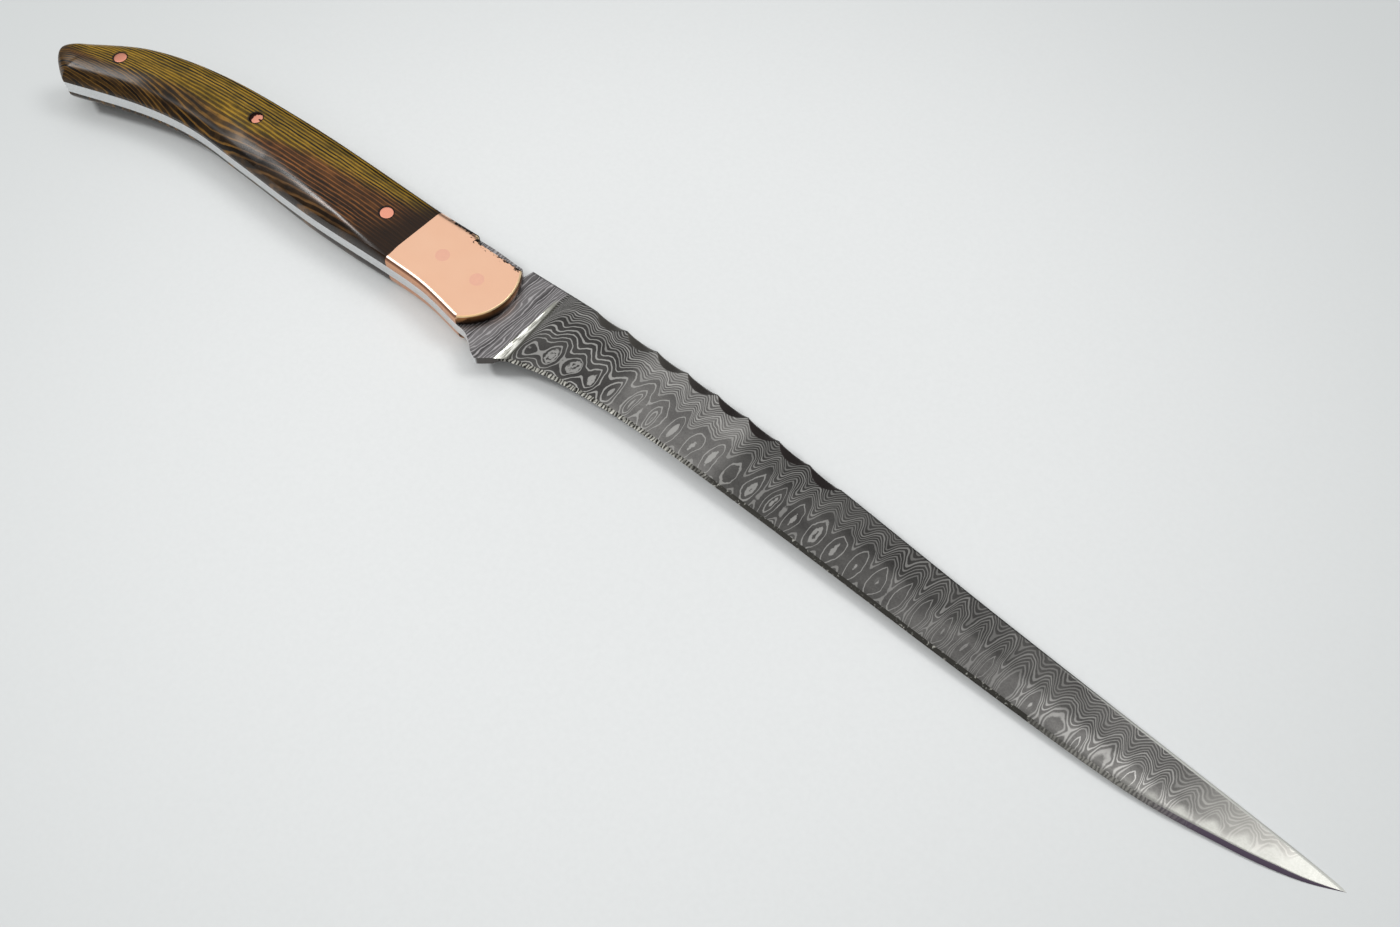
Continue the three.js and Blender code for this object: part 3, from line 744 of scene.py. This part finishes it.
# Node arithmetic
class Signal:
    """A node's output, with arithmetic that adds Math nodes, so that a pattern reads as a formula."""

    def __init__(self, tree, socket):
        self.tree = tree
        self.socket = socket

    def math(self, operation, *others):
        return add_node(self.tree, "Math", dict(enumerate((self, *others))), operation=operation)

    def __add__(self, other):
        return self.math("ADD", other)

    def __sub__(self, other):
        return self.math("SUBTRACT", other)

    def __mul__(self, other):
        return self.math("MULTIPLY", other)

    def __truediv__(self, other):
        return self.math("DIVIDE", other)

    def __rsub__(self, other):
        return add_node(self.tree, "Math", {0: other, 1: self}, operation="SUBTRACT")

    def __abs__(self):
        return self.math("ABSOLUTE")

    def at_least(self, other):
        return self.math("MAXIMUM", other)

    def at_most(self, other):
        return self.math("MINIMUM", other)

    __radd__ = __add__
    __rmul__ = __mul__

    def ramp(self, low, high, first=0.0, second=1.0):
        """A smooth step from first, at or below low, to second, at or above high."""
        inputs = dict(enumerate((self, low, high, first, second)))
        return add_node(self.tree, "MapRange", inputs, interpolation_type="SMOOTHSTEP")

    def window(self, start, full, fading, end):
        """Rises smoothly from 0 to 1 and falls again."""
        return self.ramp(start, full) * self.ramp(end, fading)


def connect(value, socket):
    """Links a signal to the socket, or sets the socket to a number or a display colour."""
    if isinstance(value, Signal):
        value.tree.links.new(value.socket, socket)
    elif isinstance(value, tuple):
        socket.default_value = (*tint(value), 1)[:len(socket.default_value)]
    else:
        socket.default_value = value


def add_node(tree, kind, inputs, output=0, **settings):
    """An output of a new node, as a signal, with the node's settings made and its inputs connected."""
    node = tree.nodes.new("ShaderNode" + kind)
    for label, setting in settings.items():
        setattr(node, label, setting)
    for label, value in inputs.items():
        connect(value, node.inputs[label])
    return Signal(tree, node.outputs[output])


def profile(x, start, *steps):
    """A value along the knife: a start value, changed by each of the (from, to, change) steps."""
    value = start
    for low, high, change in steps:
        value = value + x.ramp(low, high, 0.0, change)
    return value


def noise(x, y, z, detail=2.0):
    """Smooth noise from 0 to 1 that changes over about one unit of each coordinate."""
    place = add_node(x.tree, "CombineXYZ", {0: x, 1: y, 2: z})
    return add_node(x.tree, "TexNoise", {"Vector": place, "Scale": 1, "Detail": detail}, "Fac")


def chance(number):
    """A steady random value from 0 to 1 for each whole number."""
    return add_node(number.tree, "TexWhiteNoise", {"W": number}, "Value", noise_dimensions="1D")


def attribute(tree, label):
    return add_node(tree, "Attribute", {}, "Fac", attribute_name=label)


def parts_of(vector):
    """The three parts of a vector, as signals."""
    return [add_node(vector.tree, "SeparateXYZ", {0: vector}, part) for part in range(3)]


def places(tree):
    """The surface's place in the knife's own millimetres, as three signals."""
    where = add_node(tree, "TexCoord", {}, "Object")
    inputs = {0: where, 1: [1 / MILLIMETRE] * 3, 2: origin / -MILLIMETRE}
    return parts_of(add_node(tree, "VectorMath", inputs, operation="MULTIPLY_ADD"))


def facing(tree):
    """The surface's outward direction, as three signals."""
    return parts_of(add_node(tree, "NewGeometry", {}, "Normal"))


def reach_from(x, y, place):
    """How far a plan place lies from the given one."""
    across = x - place[0]
    rise = y - place[1]
    return (across * across + rise * rise).math("SQRT")


def tint(colour):
    """A display colour, 0 to 255, as the linear colour that a shader takes."""
    shares = np.array(colour) / 255
    return np.where(shares <= 0.04045, shares / 12.92, ((shares + 0.055) / 1.055) ** 2.4)


def mix(share, first, second):
    """The first colour where the share is 0, and the second where it is 1."""
    return add_node(share.tree, "Mix", {0: share, 6: first, 7: second}, 2, data_type="RGBA")


def scaled(colour, factor):
    """A colour made brighter or darker by a factor."""
    return add_node(factor.tree, "VectorMath", {0: colour, "Scale": factor}, operation="SCALE")


def new_material(name):
    """A material with its shader and the signals of the surface's place."""
    material = bpy.data.materials.new(name)
    material.use_nodes = True
    tree = material.node_tree
    return material, tree.nodes["Principled BSDF"], places(tree)


def set_looks(shader, colour, rough, metallic=1, specular=0.5):
    connect(colour, shader.inputs["Base Color"])
    connect(rough, shader.inputs["Roughness"])
    shader.inputs["Metallic"].default_value = metallic
    shader.inputs["Specular IOR Level"].default_value = specular


def bump(shader, height, strength, distance):
    inputs = {"Strength": strength, "Distance": distance * MILLIMETRE, "Height": height}
    connect(add_node(height.tree, "Bump", inputs, "Normal"), shader.inputs["Normal"])


# Pattern-welded steel
def ladder_wave(x, above_edge, wander):
    """The ladder's wave along the blade, from -1 to 1, and the number of each of its waves."""
    way = x - LADDER_PEAK + wander * 2.2
    peaked = 1 - way.math("PINGPONG", LADDER_PERIOD / 2) * (4 / LADDER_PERIOD)
    rounded = (peaked * (math.pi / 2)).math("SINE")
    wave = rounded + (peaked - rounded) * (peaked + 1) * above_edge.ramp(6, 10, 0.18, 0.38)
    return wave, (way / LADDER_PERIOD + 0.5).math("FLOOR")


def layer_count(x, level):
    """The welded layers counted from the eyes outward, each whole number being a bright layer, and
    the spacing of the layers in millimetres."""
    inner = (level - WIDE_FROM).at_most(0)
    middle = (level - WIDE_FROM).at_least(0).at_most(WIDE_TO - WIDE_FROM)
    outer = (level - WIDE_TO).at_least(0)
    wide = profile(x, *WIDE_PITCHES)
    band = profile(x, *OUTER_BANDS)
    pitch = profile(x, *CLOSE_PITCHES)
    close = (outer - band).at_least(0)
    count = inner / EYE_PITCH + middle / wide + (outer / band).at_most(1) + close / pitch
    spacing = wide + (band - wide) * outer.math("GREATER_THAN", 0)
    spacing = spacing + (pitch - band) * close.math("GREATER_THAN", 0)
    spacing = spacing + (EYE_PITCH - wide) * inner.math("LESS_THAN", 0)
    return count, spacing


def ladder_layers(x, above_edge, below_spine):
    """The layers over the ground face: their count and spacing, the depth inside the core of an eye,
    the bright places between eyes, and the wave of the ladder."""
    drift = noise(x * 0.06, above_edge * 0.1, 3) - 0.5
    wander = noise(x * 0.19, above_edge * 0.13, 7) - 0.5
    wave, number = ladder_wave(x, above_edge, wander)
    swing = profile(x, *LADDER_SWINGS) * below_spine.ramp(0, 7, 0.62, 1) * (1 + drift * 1.4)
    eye_height = profile(x, *EYE_HEIGHTS) + (noise(x * 0.15, 2, 11) - 0.5) * 2.5
    away = above_edge - eye_height
    beside = abs(away)
    field = (away * away + EYE_ROUND**2).math("SQRT") - EYE_ROUND
    field = field - wave * swing + drift * 1.8 + wander * 2.6
    bare = chance(number + 17) * x.ramp(54, 60, 0, 0.8)
    core = profile(x, *EYE_CORES) * swing - field - bare
    crest = wave.at_least(0) * (1 - beside.ramp(1.5, 6))
    field = field + (chance(number) - 0.5) * 2.6 * crest * x.ramp(58, 70)
    past_plunge = (x - plunge_x - 1.2).at_least(0)
    field = field + 5 * (past_plunge * -1.1).math("EXPONENT")
    tilt = ((x - 46) * 0.2).at_least(0).at_most(6.6) + x.ramp(132, 152, 0, 2.4)
    count, spacing = layer_count(x, field + tilt)
    saddle = (wave * -1).ramp(0.7, 1) * (1 - beside.ramp(0.4, 2.2))
    return count, spacing, core, saddle * x.window(101, 103, 113, 115), wave


def layer_brightness(x, above_edge, below_spine, ragged):
    """How bright the layers and the eyes are over the ground face, and the wave of the ladder."""
    count, spacing, core, saddle, wave = ladder_layers(x, above_edge, below_spine)
    count = count + ragged * 0.22
    layer = (count + 0.5).math("FLOOR")
    gap = abs(count - layer) * spacing
    wide = spacing.ramp(0.6, 1.2, 0.13, 0.2) * (0.7 + chance(layer) * 0.6) * x.ramp(56, 64, 0.8, 1)
    soft = x.ramp(150, 185, 0.25, 0.6)
    lines = 1 - gap.ramp(wide * (1 - soft), wide * (1 + soft))
    strength = chance(layer + 31) * 0.5 + 0.5
    faded = above_edge.ramp(8, 5) * x.window(136, 146, 164, 176) * 0.25
    lines = lines * strength * (profile(x, *LAYER_STRENGTHS) - faded)
    dot = (core + x.ramp(52, 62, 0.26, 0) + ragged * 1.1).ramp(0.6, 0.75)
    eye = (core + ragged * 0.9).ramp(-0.1, 0.1) * (1 - dot) * x.ramp(136, 130)
    eye = eye.at_least((saddle + ragged * 1.2).ramp(0.25, 0.75) * 0.7)
    return lines.at_least(eye * x.ramp(52, 62, 0.65, 0.9)), wave


def ground_colour(x, above_edge, below_spine, bright, wave, ragged, grit, cloud):
    """The ground face: dark and bright layers, polished and given a painted highlight toward the tip, with
    painted shade near the spine and a painted highlight along the edge there.
    """
    near_spine = below_spine.ramp(9, 6)
    dull = lerp(profile(x, *DARK_NEAR_EDGE), profile(x, *DARK_NEAR_SPINE), near_spine)
    keen = lerp(profile(x, *LIGHT_NEAR_EDGE), profile(x, *LIGHT_NEAR_SPINE), near_spine)
    dark = scaled(mix(cloud * 1.4 + grit * 0.8 + 0.25, (62, 61, 60), (92, 91, 89)), dull)
    light = scaled((160, 159, 156), keen)
    # Polished tip and painted highlight: the tip, and the edge before it, are painted lighter
    polish_and_highlight = x.ramp(198, 232) + above_edge.ramp(4, 0.8) * x.ramp(178, 202) * 0.35
    dark = mix(polish_and_highlight, dark, (126, 125, 121))
    light = mix(polish_and_highlight, light, (176, 175, 169))
    # Painted shade: the face near the spine is darkened toward the tip
    painted_spine_shade = x.window(194, 204, 222, 230) * below_spine.ramp(4, 2) * -0.15 + 1
    face = scaled(mix(bright, dark, light), painted_spine_shade)
    # Painted highlight: a near-white band along the edge toward the tip
    hill = profile(x, *PAINTED_HIGHLIGHT_HEIGHTS) + wave * 1.1
    painted_edge_highlight = (hill - above_edge + ragged * 0.8).ramp(-1.4, 0.8) * x.ramp(190, 206)
    return mix(painted_edge_highlight, face, mix(grit + 0.5, (123, 123, 118), (140, 140, 136)))


def ricasso_colour(x, y, z):
    """Thin bright threads across the ricasso."""
    weave = (noise(x * 0.22, y * 0.06, z) - 0.5) * 6 + (noise(x * 0.8, y * 0.2, z) - 0.5) * 1.6
    across = x * 1.3 + weave
    thread = (across + 0.5).math("FLOOR")
    gap = abs(across - thread)
    dark = gap.ramp(0.04, 0.2) * (0.6 + chance(thread) * 0.4)
    return mix(dark, (176, 173, 174), (78, 76, 77))


def with_plunge(colour, x, y, z, below_spine, ragged):
    """The colour with the plunge on it: a glint that widens toward the edge and a shade in front."""
    start = plunge_x - 0.3 + below_spine.ramp(4, 12, 0, 0.35)
    end = below_spine * 0.085 + (plunge_x + 0.1)
    glint = (x - start).ramp(-0.12, 0.12) * (1 - (x - end).ramp(-0.3, 0.3))
    glint = glint * (below_spine + ragged * 1.5).ramp(2.6, 4.4)
    shade = (x - end).window(-0.2, 0.1, 0.2, 1.1) * below_spine.ramp(2, 5)
    streak = noise(x * 3, y * 0.35, z, 3).ramp(0.35, 0.65)
    bright = mix(below_spine.ramp(4, 14), (176, 176, 168), (246, 246, 238))
    colour = mix(shade * 0.8, colour, (66, 66, 58))
    return mix(glint, colour, mix(streak, (136, 136, 128), bright))


def pattern_steel():
    """The blade's faces: ricasso, plunge, ground face and file cuts."""
    material, shader, (x, y, z) = new_material("pattern_steel")
    above_edge = attribute(x.tree, "above_edge")
    below_spine = attribute(x.tree, "below_spine")
    filed = attribute(x.tree, "filed").ramp(0, FILED_BORDER)
    ragged = noise(x * 1.3, y * 1.3, z, 4) - 0.5
    grit = noise(x * 3, y * 3, z, 3) - 0.5
    cloud = noise(x * 0.07, y * 0.16, z) - 0.5
    bright, wave = layer_brightness(x, above_edge, below_spine, ragged)
    face = ground_colour(x, above_edge, below_spine, bright, wave, ragged, grit, cloud)
    pale = below_spine.ramp(0.7, 0.4) * x.ramp(165, 205)
    face = mix(pale * 0.85, face, (206, 207, 202))
    colour = mix(x.ramp(plunge_x + 0.2, plunge_x + 0.8), ricasso_colour(x, y, z), face)
    colour = with_plunge(colour, x, y, z, below_spine, ragged)
    # The file cuts are painted as darker polished steel, darkest from about 90 mm on; part of this darkness
    # is a painted dark reflection
    cut = mix((x + ragged * 6).ramp(58, 90), (104, 101, 96), (68, 62, 61))
    colour = mix(filed, colour, cut)
    rough = bright * -0.05 + 0.34 + cloud * 0.1 + pale * 0.4
    set_looks(shader, colour, rough)
    bump(shader, bright, 0.2, 0.02)
    return material


def satin_steel():
    """The tang's edge and the spine, brushed along the knife, and the choil with painted shade."""
    material, shader, (x, y, z) = new_material("satin_steel")
    filed = attribute(x.tree, "filed").ramp(0, FILED_BORDER)
    brush = noise(x * 0.6, y * 6, z * 9, 3)
    cloud = noise(x * 0.06, y * 0.06, z * 0.2)
    base = mix(cloud, (226, 227, 228), (242, 243, 243))
    colour = mix((brush - 0.5) * 1.2 + 0.3, base, (190, 191, 192))
    spine = x.ramp(shoulder_x - 0.2, shoulder_x + 0.3) * y.ramp(-12, -8)
    # Painted shade on the choil's underside
    painted_choil_shade = x.ramp(heel_x - 0.1, heel_x + 0.5) * y.ramp(-8, -12)
    colour = mix(spine * x.ramp(150, 200, 0.8, 0.1), colour, (92, 91, 90))
    colour = mix(painted_choil_shade, colour, (84, 80, 78))
    # The file cuts in the spine are painted dark; part of this is a painted dark reflection
    colour = mix(filed, colour, (60, 56, 56))
    rough = brush * 0.18 + 0.3 + spine * x.ramp(150, 200, 0, 0.4)
    set_looks(shader, colour, rough)
    bump(shader, brush, 0.2, 0.02)
    return material


def bevel_steel():
    """The ground cutting edge, with scratches across it and a painted dark reflection along its middle
    stretch.
    """
    material, shader, (x, y, z) = new_material("bevel_steel")
    uneven = noise(x * 1.1, y * 0.7, z)
    ticks = ((x * 1.25 + uneven * 1.6) * (2 * math.pi)).math("SINE") * 0.5 + 0.5
    chip = noise(x * 0.45, y * 0.5, 4)
    nick = noise(x * 1.6, y * 1.6, 9, 3).ramp(0.56, 0.66)
    light = mix(ticks, (20, 19, 17), (158, 157, 150))
    light = scaled(light, noise(x * 0.9, 1, 6, 3).ramp(0.35, 0.65, 0.55, 1.25))
    light = mix(nick * chip.ramp(0.4, 0.6), light, (46, 44, 42))
    # Painted dark reflection: from about 100 mm on, the bevel is painted dark, with light nicks
    painted_dark_stretch = mix(nick * chip.ramp(0.45, 0.6), (54, 53, 50), (160, 159, 152))
    front = mix(ticks, (84, 83, 80), (130, 129, 124))
    front = mix(x.ramp(196, 214), front, (78, 69, 82))
    colour = mix((x + chip * 24).ramp(94, 108), light, painted_dark_stretch)
    colour = mix((x + chip * 20).ramp(182, 196), colour, front)
    set_looks(shader, colour, 0.36)
    bump(shader, ticks, 0.3, 0.02)
    return material


# Copper
def torn_edge(x, y, z):
    """The torn, dark border of the bolster's filed spine."""
    rear_edge = x * 0.12 - SPINE_DEPTH_AT_JOINT
    notch_floor = (x - notch_end) * 0.07 - SPINE_DEPTH_AT_JOINT - 0.5
    filed_edge = lerp(rear_edge, notch_floor, x.math("GREATER_THAN", NOTCH_START + 1))
    torn = noise(x * 1.1, y * 1.8, z * 0.6, 5)
    reach = (torn - x.ramp(3, 10, 0.52, 0.45)) * 5 + x.ramp(11, 13, 1.3, 0.25)
    return (filed_edge - y - reach).ramp(0.1, -0.1) * x.window(2, 4, 25.5, 26.5)


def bolster_copper():
    """Polished copper, with painted highlights on the belly's rolled edge and on the front rim, a painted
    dark reflection under the roll and painted shade down its walls.
    """
    material, shader, (x, y, z) = new_material("bolster_copper")
    right, forward, up = facing(x.tree)
    cloud = noise(x * 0.1, y * 0.1, z * 0.2)
    hair = noise(x * 0.25 + y * 4, y * 0.25 - x * 0.1, z * 3, 3)
    base = mix(cloud, (242, 190, 158), (249, 203, 173))
    colour = mix(hair.ramp(0.62, 0.8) * 0.12, base, (210, 152, 118))

    outward = forward * -1
    flat = abs(up)
    height = abs(z) - half
    # Painted highlight: white where the belly's edge rolls over
    painted_highlight_roll = outward.window(0.2, 0.36, 0.56, 0.68)
    colour = mix(painted_highlight_roll * 0.85, colour, (255, 246, 238))
    # Painted dark reflection: a thin dark line below the highlight
    painted_dark_reflection_line = outward.window(0.7, 0.8, 0.93, 0.99)
    colour = mix(painted_dark_reflection_line * 0.8, colour, (128, 74, 48))
    # Painted shade: the belly's wall is painted a darker orange
    colour = mix(outward.ramp(0.93, 0.99), colour, (214, 156, 118))
    # Painted shade: the front wall is painted dark at its foot, lighter toward the top
    wall = mix(height.ramp(0.3, 2.3), (40, 26, 18), (150, 104, 66))
    colour = mix(right.ramp(0.45, 0.6) * flat.ramp(0.5, 0.3), colour, wall)
    # Painted highlight: a bright gold line on the front rim
    rim = right.ramp(0.1, 0.22) * flat.ramp(0.25, 0.4)
    colour = mix(rim, colour, (255, 226, 180))

    smudge = torn_edge(x, y, z)
    colour = mix(smudge, colour, (34, 29, 26))
    rough = cloud * 0.05 + smudge * 0.4 + painted_highlight_roll * 0.36 + rim * 0.25 + 0.15
    set_looks(shader, colour, rough)
    bump(shader, cloud - smudge, 0.15, 0.05)
    return material


def pin_copper(name, bright, dull, dent=None):
    """A pin's metal; a dent about the given place darkens the head's left side and chips its right."""
    material, shader, (x, y, z) = new_material(name)
    hair = noise(x * 1.2, y * 1.2, z * 2, 3)
    colour = mix(hair, bright, dull)
    if dent is not None:
        torn = (noise(x * 1.5, y * 1.5, z, 4) - 0.5) * 1.2
        away = reach_from(x, y, dent + (0.9, -0.1))
        chip = reach_from(x, y, dent + (1.3, 0.2))
        colour = mix((away + torn).ramp(1.45, 1.6), colour, (46, 24, 20))
        colour = mix((chip + torn).ramp(0.45, 0.3), colour, (70, 38, 30))
    set_looks(shader, colour, hair * 0.1 + 0.2)
    bump(shader, hair, 0.1, 0.02)
    return material


# Wood
def grain_count(x, y, side, facet):
    """The wood's lines, counted across the grain."""
    warp = noise(x * 0.02, y * 0.06, side * 0.05) - 0.5
    ripple = noise(x * 0.1, y * 0.3, side * 0.1) - 0.5
    stir = noise(x * 0.22, y * 0.5, side * 0.3) - 0.5
    bend = ((x + GRAIN_BEND_FROM) * (-1 / GRAIN_BEND_RUN)).at_least(0)
    grain = y - x * GRAIN_SLOPE + bend * bend * bend * GRAIN_BEND
    grain = grain + facet.at_least(0) * GRAIN_STRETCH + warp * 2 + ripple * 0.45 + stir * 0.3
    upper = (grain - WIDE_GRAIN_FROM).at_least(0)
    lower = (grain - WIDE_GRAIN_TO).at_most(0)
    middle = grain - upper - lower - WIDE_GRAIN_FROM
    count = upper / x.ramp(-95, -60, *GRAIN_PITCH)
    count = count + middle / x.ramp(-92, -55, *WIDE_GRAIN_PITCH)
    return count + lower / x.ramp(-92, -55, *FACET_GRAIN_PITCH)


def dark_wood():
    """Striped wood: gold near the spine, brown below, worn on the facet and burnt at the bolster."""
    material, shader, (x, y, z) = new_material("dark_wood")
    side = abs(z)
    across = attribute(x.tree, "across")
    facet = attribute(x.tree, "facet")
    patch = noise(x * 0.05, y * 0.22, side * 0.22) - 0.5
    border = x * BROWN_SLOPE + BROWN_FROM + x.ramp(-54, -36, -0.8, 1.8)
    brownness = (y - border + patch * 4).ramp(1.5, -2)
    butt = x.ramp(-74, -90)

    count = grain_count(x, y, side, facet)
    line = count.math("FLOOR")
    gap = abs(count - line - 0.5)
    reach = brownness * 0.08 + butt * 0.06 + 0.2 + (chance(line + 9) - 0.5) * 0.1
    dash = noise(x * 0.2, line * 3.7, 0, 3).ramp(0.28, 0.5, 0.7, 1)
    groove = (1 - gap.ramp(reach, reach + 0.15)) * dash * (chance(line) * 0.3 + 0.7)
    shimmer = noise(x * 0.14, line * 2.3, 5, 3).ramp(0.3, 0.7)
    pores = noise(x * 0.7, y * 5, side * 5, 1).ramp(0.62, 0.72)

    gold = mix(shimmer, (104, 82, 18), (154, 119, 32))
    brown = mix(shimmer, (84, 52, 25), (136, 86, 42))
    light = mix(brownness, scaled(gold, butt * 0.3 + 1), brown)
    dark = mix(brownness, (12, 8, 3), (10, 6, 4))
    ember = mix(x.ramp(-56, -40), (128, 92, 38), (104, 74, 42))
    ember = mix(shimmer, (52, 36, 19), ember)
    light = mix((facet + patch * 2).ramp(-1.2, 1), light, ember)
    colour = mix(groove, light, dark)
    burnt = (x + across * 7 + patch * 5).ramp(-9, 0.5) * 0.94
    colour = mix(burnt, colour, (32, 19, 9))
    colour = mix(pores * 0.45, colour, (18, 13, 10))
    # Painted shade: a dark ring in the wood round each pin, for the shade in the gap about it
    for pin in SCALE_PINS.values():
        away = reach_from(x, y, pin_centre(pin) - (0.15, 0))
        colour = mix(away.ramp(2.2, 1.8) * 0.85, colour, (14, 9, 8))
    worn = x.ramp(-50, -62) * x.ramp(-88, -80, 0.26, 1) * (1 - abs(facet).ramp(2.5, 4.5))
    rough = pores * 0.1 - groove * 0.02 + 0.23 + worn * 0.5
    set_looks(shader, colour, rough, metallic=0, specular=0.2)
    bump(shader, groove * -0.3 - pores, 0.04, 0.03)
    return material


def mark_wood(mesh):
    """Marks how far each point lies from the spine (0) to the belly (1), and how far inside the
    belly's facet, in millimetres."""
    x, y, _ = in_millimetres(read_rows(mesh.vertices, "co")).T
    x = np.maximum(x, butt_corner[0])
    share = (handle_spine(x) - y) / (handle_spine(x) - handle_belly(x))
    inside = belly_bevel(x) - (y - handle_belly(x))
    mark_points(mesh, {"across": share, "facet": inside})


# The knife's pieces
def dress(piece, slot, *nodes):
    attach(piece, "root")
    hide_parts(*nodes)


dress(build_steel([pattern_steel(), satin_steel(), bevel_steel()]), "pattern_steel", "blade")
wood = dark_wood()
copper = bolster_copper()
pin_metal = pin_copper("pin_copper", *PEENED_COLOURS)
flush_metal = pin_copper("flush_pin_copper", *FLUSH_COLOURS)
dent = pin_centre(SCALE_PINS["middle_scale_pin"])
dented_metal = pin_copper("dented_pin_copper", *PEENED_COLOURS, dent)
scales = {}
for label, side in (("right", 1), ("left", -1)):
    scales[label] = build_scale(f"{label}_wood", side, wood)
    mark_wood(scales[label].data)
    dress(scales[label], "dark_wood", f"{label}_scale")
    dress(build_bolster(f"{label}_copper", side, copper), "bolster_copper", f"{label}_bolster")
for node, place in SCALE_PINS.items():
    metal = dented_metal if node == "middle_scale_pin" else pin_metal
    dress(build_pin(f"{node}_head", place, wood_plate, PIN_RADIUS, PEENED_HEAD, metal), "pin_copper", node)
for node, place in BOLSTER_PINS.items():
    snug = PIN_RADIUS + PIN_GAP
    dress(build_pin(f"{node}_head", place, copper_plate, snug, FLUSH_HEAD, flush_metal), "pin_copper", node)


# Stage, light and camera
def build_floor(lower_scale):
    """A pale table top under the tip and the swell of the lower scale."""
    tip = in_frame((tip_x, TIP_RISE, 0))
    low = [vertex.co for vertex in lower_scale.data.vertices]
    slope = max((tip.z - spot.z) / (tip.x - spot.x) for spot in low)
    corners = []
    for x_side, y_side in ((-1, -1), (1, -1), (1, 1), (-1, 1)):
        x = x_side * FLOOR_REACH
        corners.append((x, y_side * FLOOR_REACH, tip.z + slope * (x - tip.x)))
    mesh = bpy.data.meshes.new("floor")
    mesh.from_pydata(corners, [], [range(len(corners))])
    material, shader, (x, y, z) = new_material("pale_table")
    weave = noise(x * 0.9, y * 0.9, z, 3)
    near = mix(weave, (212, 214, 214), (218, 220, 220))
    # Painted light fall-off: the floor is painted darker away from its brightest place
    away = reach_from(x, y, FLOOR_PAINTED_LIGHT_CENTRE)
    colour = mix(away.ramp(*FLOOR_PAINTED_FADE), near, (192, 195, 195))
    set_looks(shader, colour, 0.9, metallic=0, specular=0.1)
    mesh.materials.append(material)
    floor = add_object("floor", mesh)


def build_world():
    """A soft sky: bright overhead and grey at the horizon."""
    world = bpy.data.worlds.new("studio")
    bpy.context.scene.world = world
    world.use_nodes = True
    tree = world.node_tree
    up = parts_of(add_node(tree, "TexCoord", {}, "Generated"))[2]
    connect(up.ramp(*SKY_RISE, HORIZON_GREY, OVERHEAD_GREY), tree.nodes["Background"].inputs["Color"])


def add_light(name, place, aim, size, power):
    lamp = bpy.data.lights.new(name, "AREA")
    lamp.shape = "DISK"
    lamp.size = size
    lamp.energy = power
    light = add_object(name, lamp)
    light.location = place
    light.rotation_euler = (Vector(aim) - Vector(place)).to_track_quat("-Z", "Y").to_euler()


def build_camera():
    lens = bpy.data.cameras.new("camera")
    lens.lens = LENS
    lens.sensor_width = SENSOR
    lens.clip_start = CLIP_START
    camera = add_object("camera", lens)
    camera.location = in_frame(CAMERA_PLACE)
    camera.rotation_euler = Vector(CAMERA_AIM).to_track_quat("-Z", "Y").to_euler()
    bpy.context.scene.camera = camera


build_floor(scales["left"])
build_world()
for name, lamp in LAMPS.items():
    add_light(name, *lamp)
build_camera()
bpy.context.scene.view_settings.view_transform = "Standard"
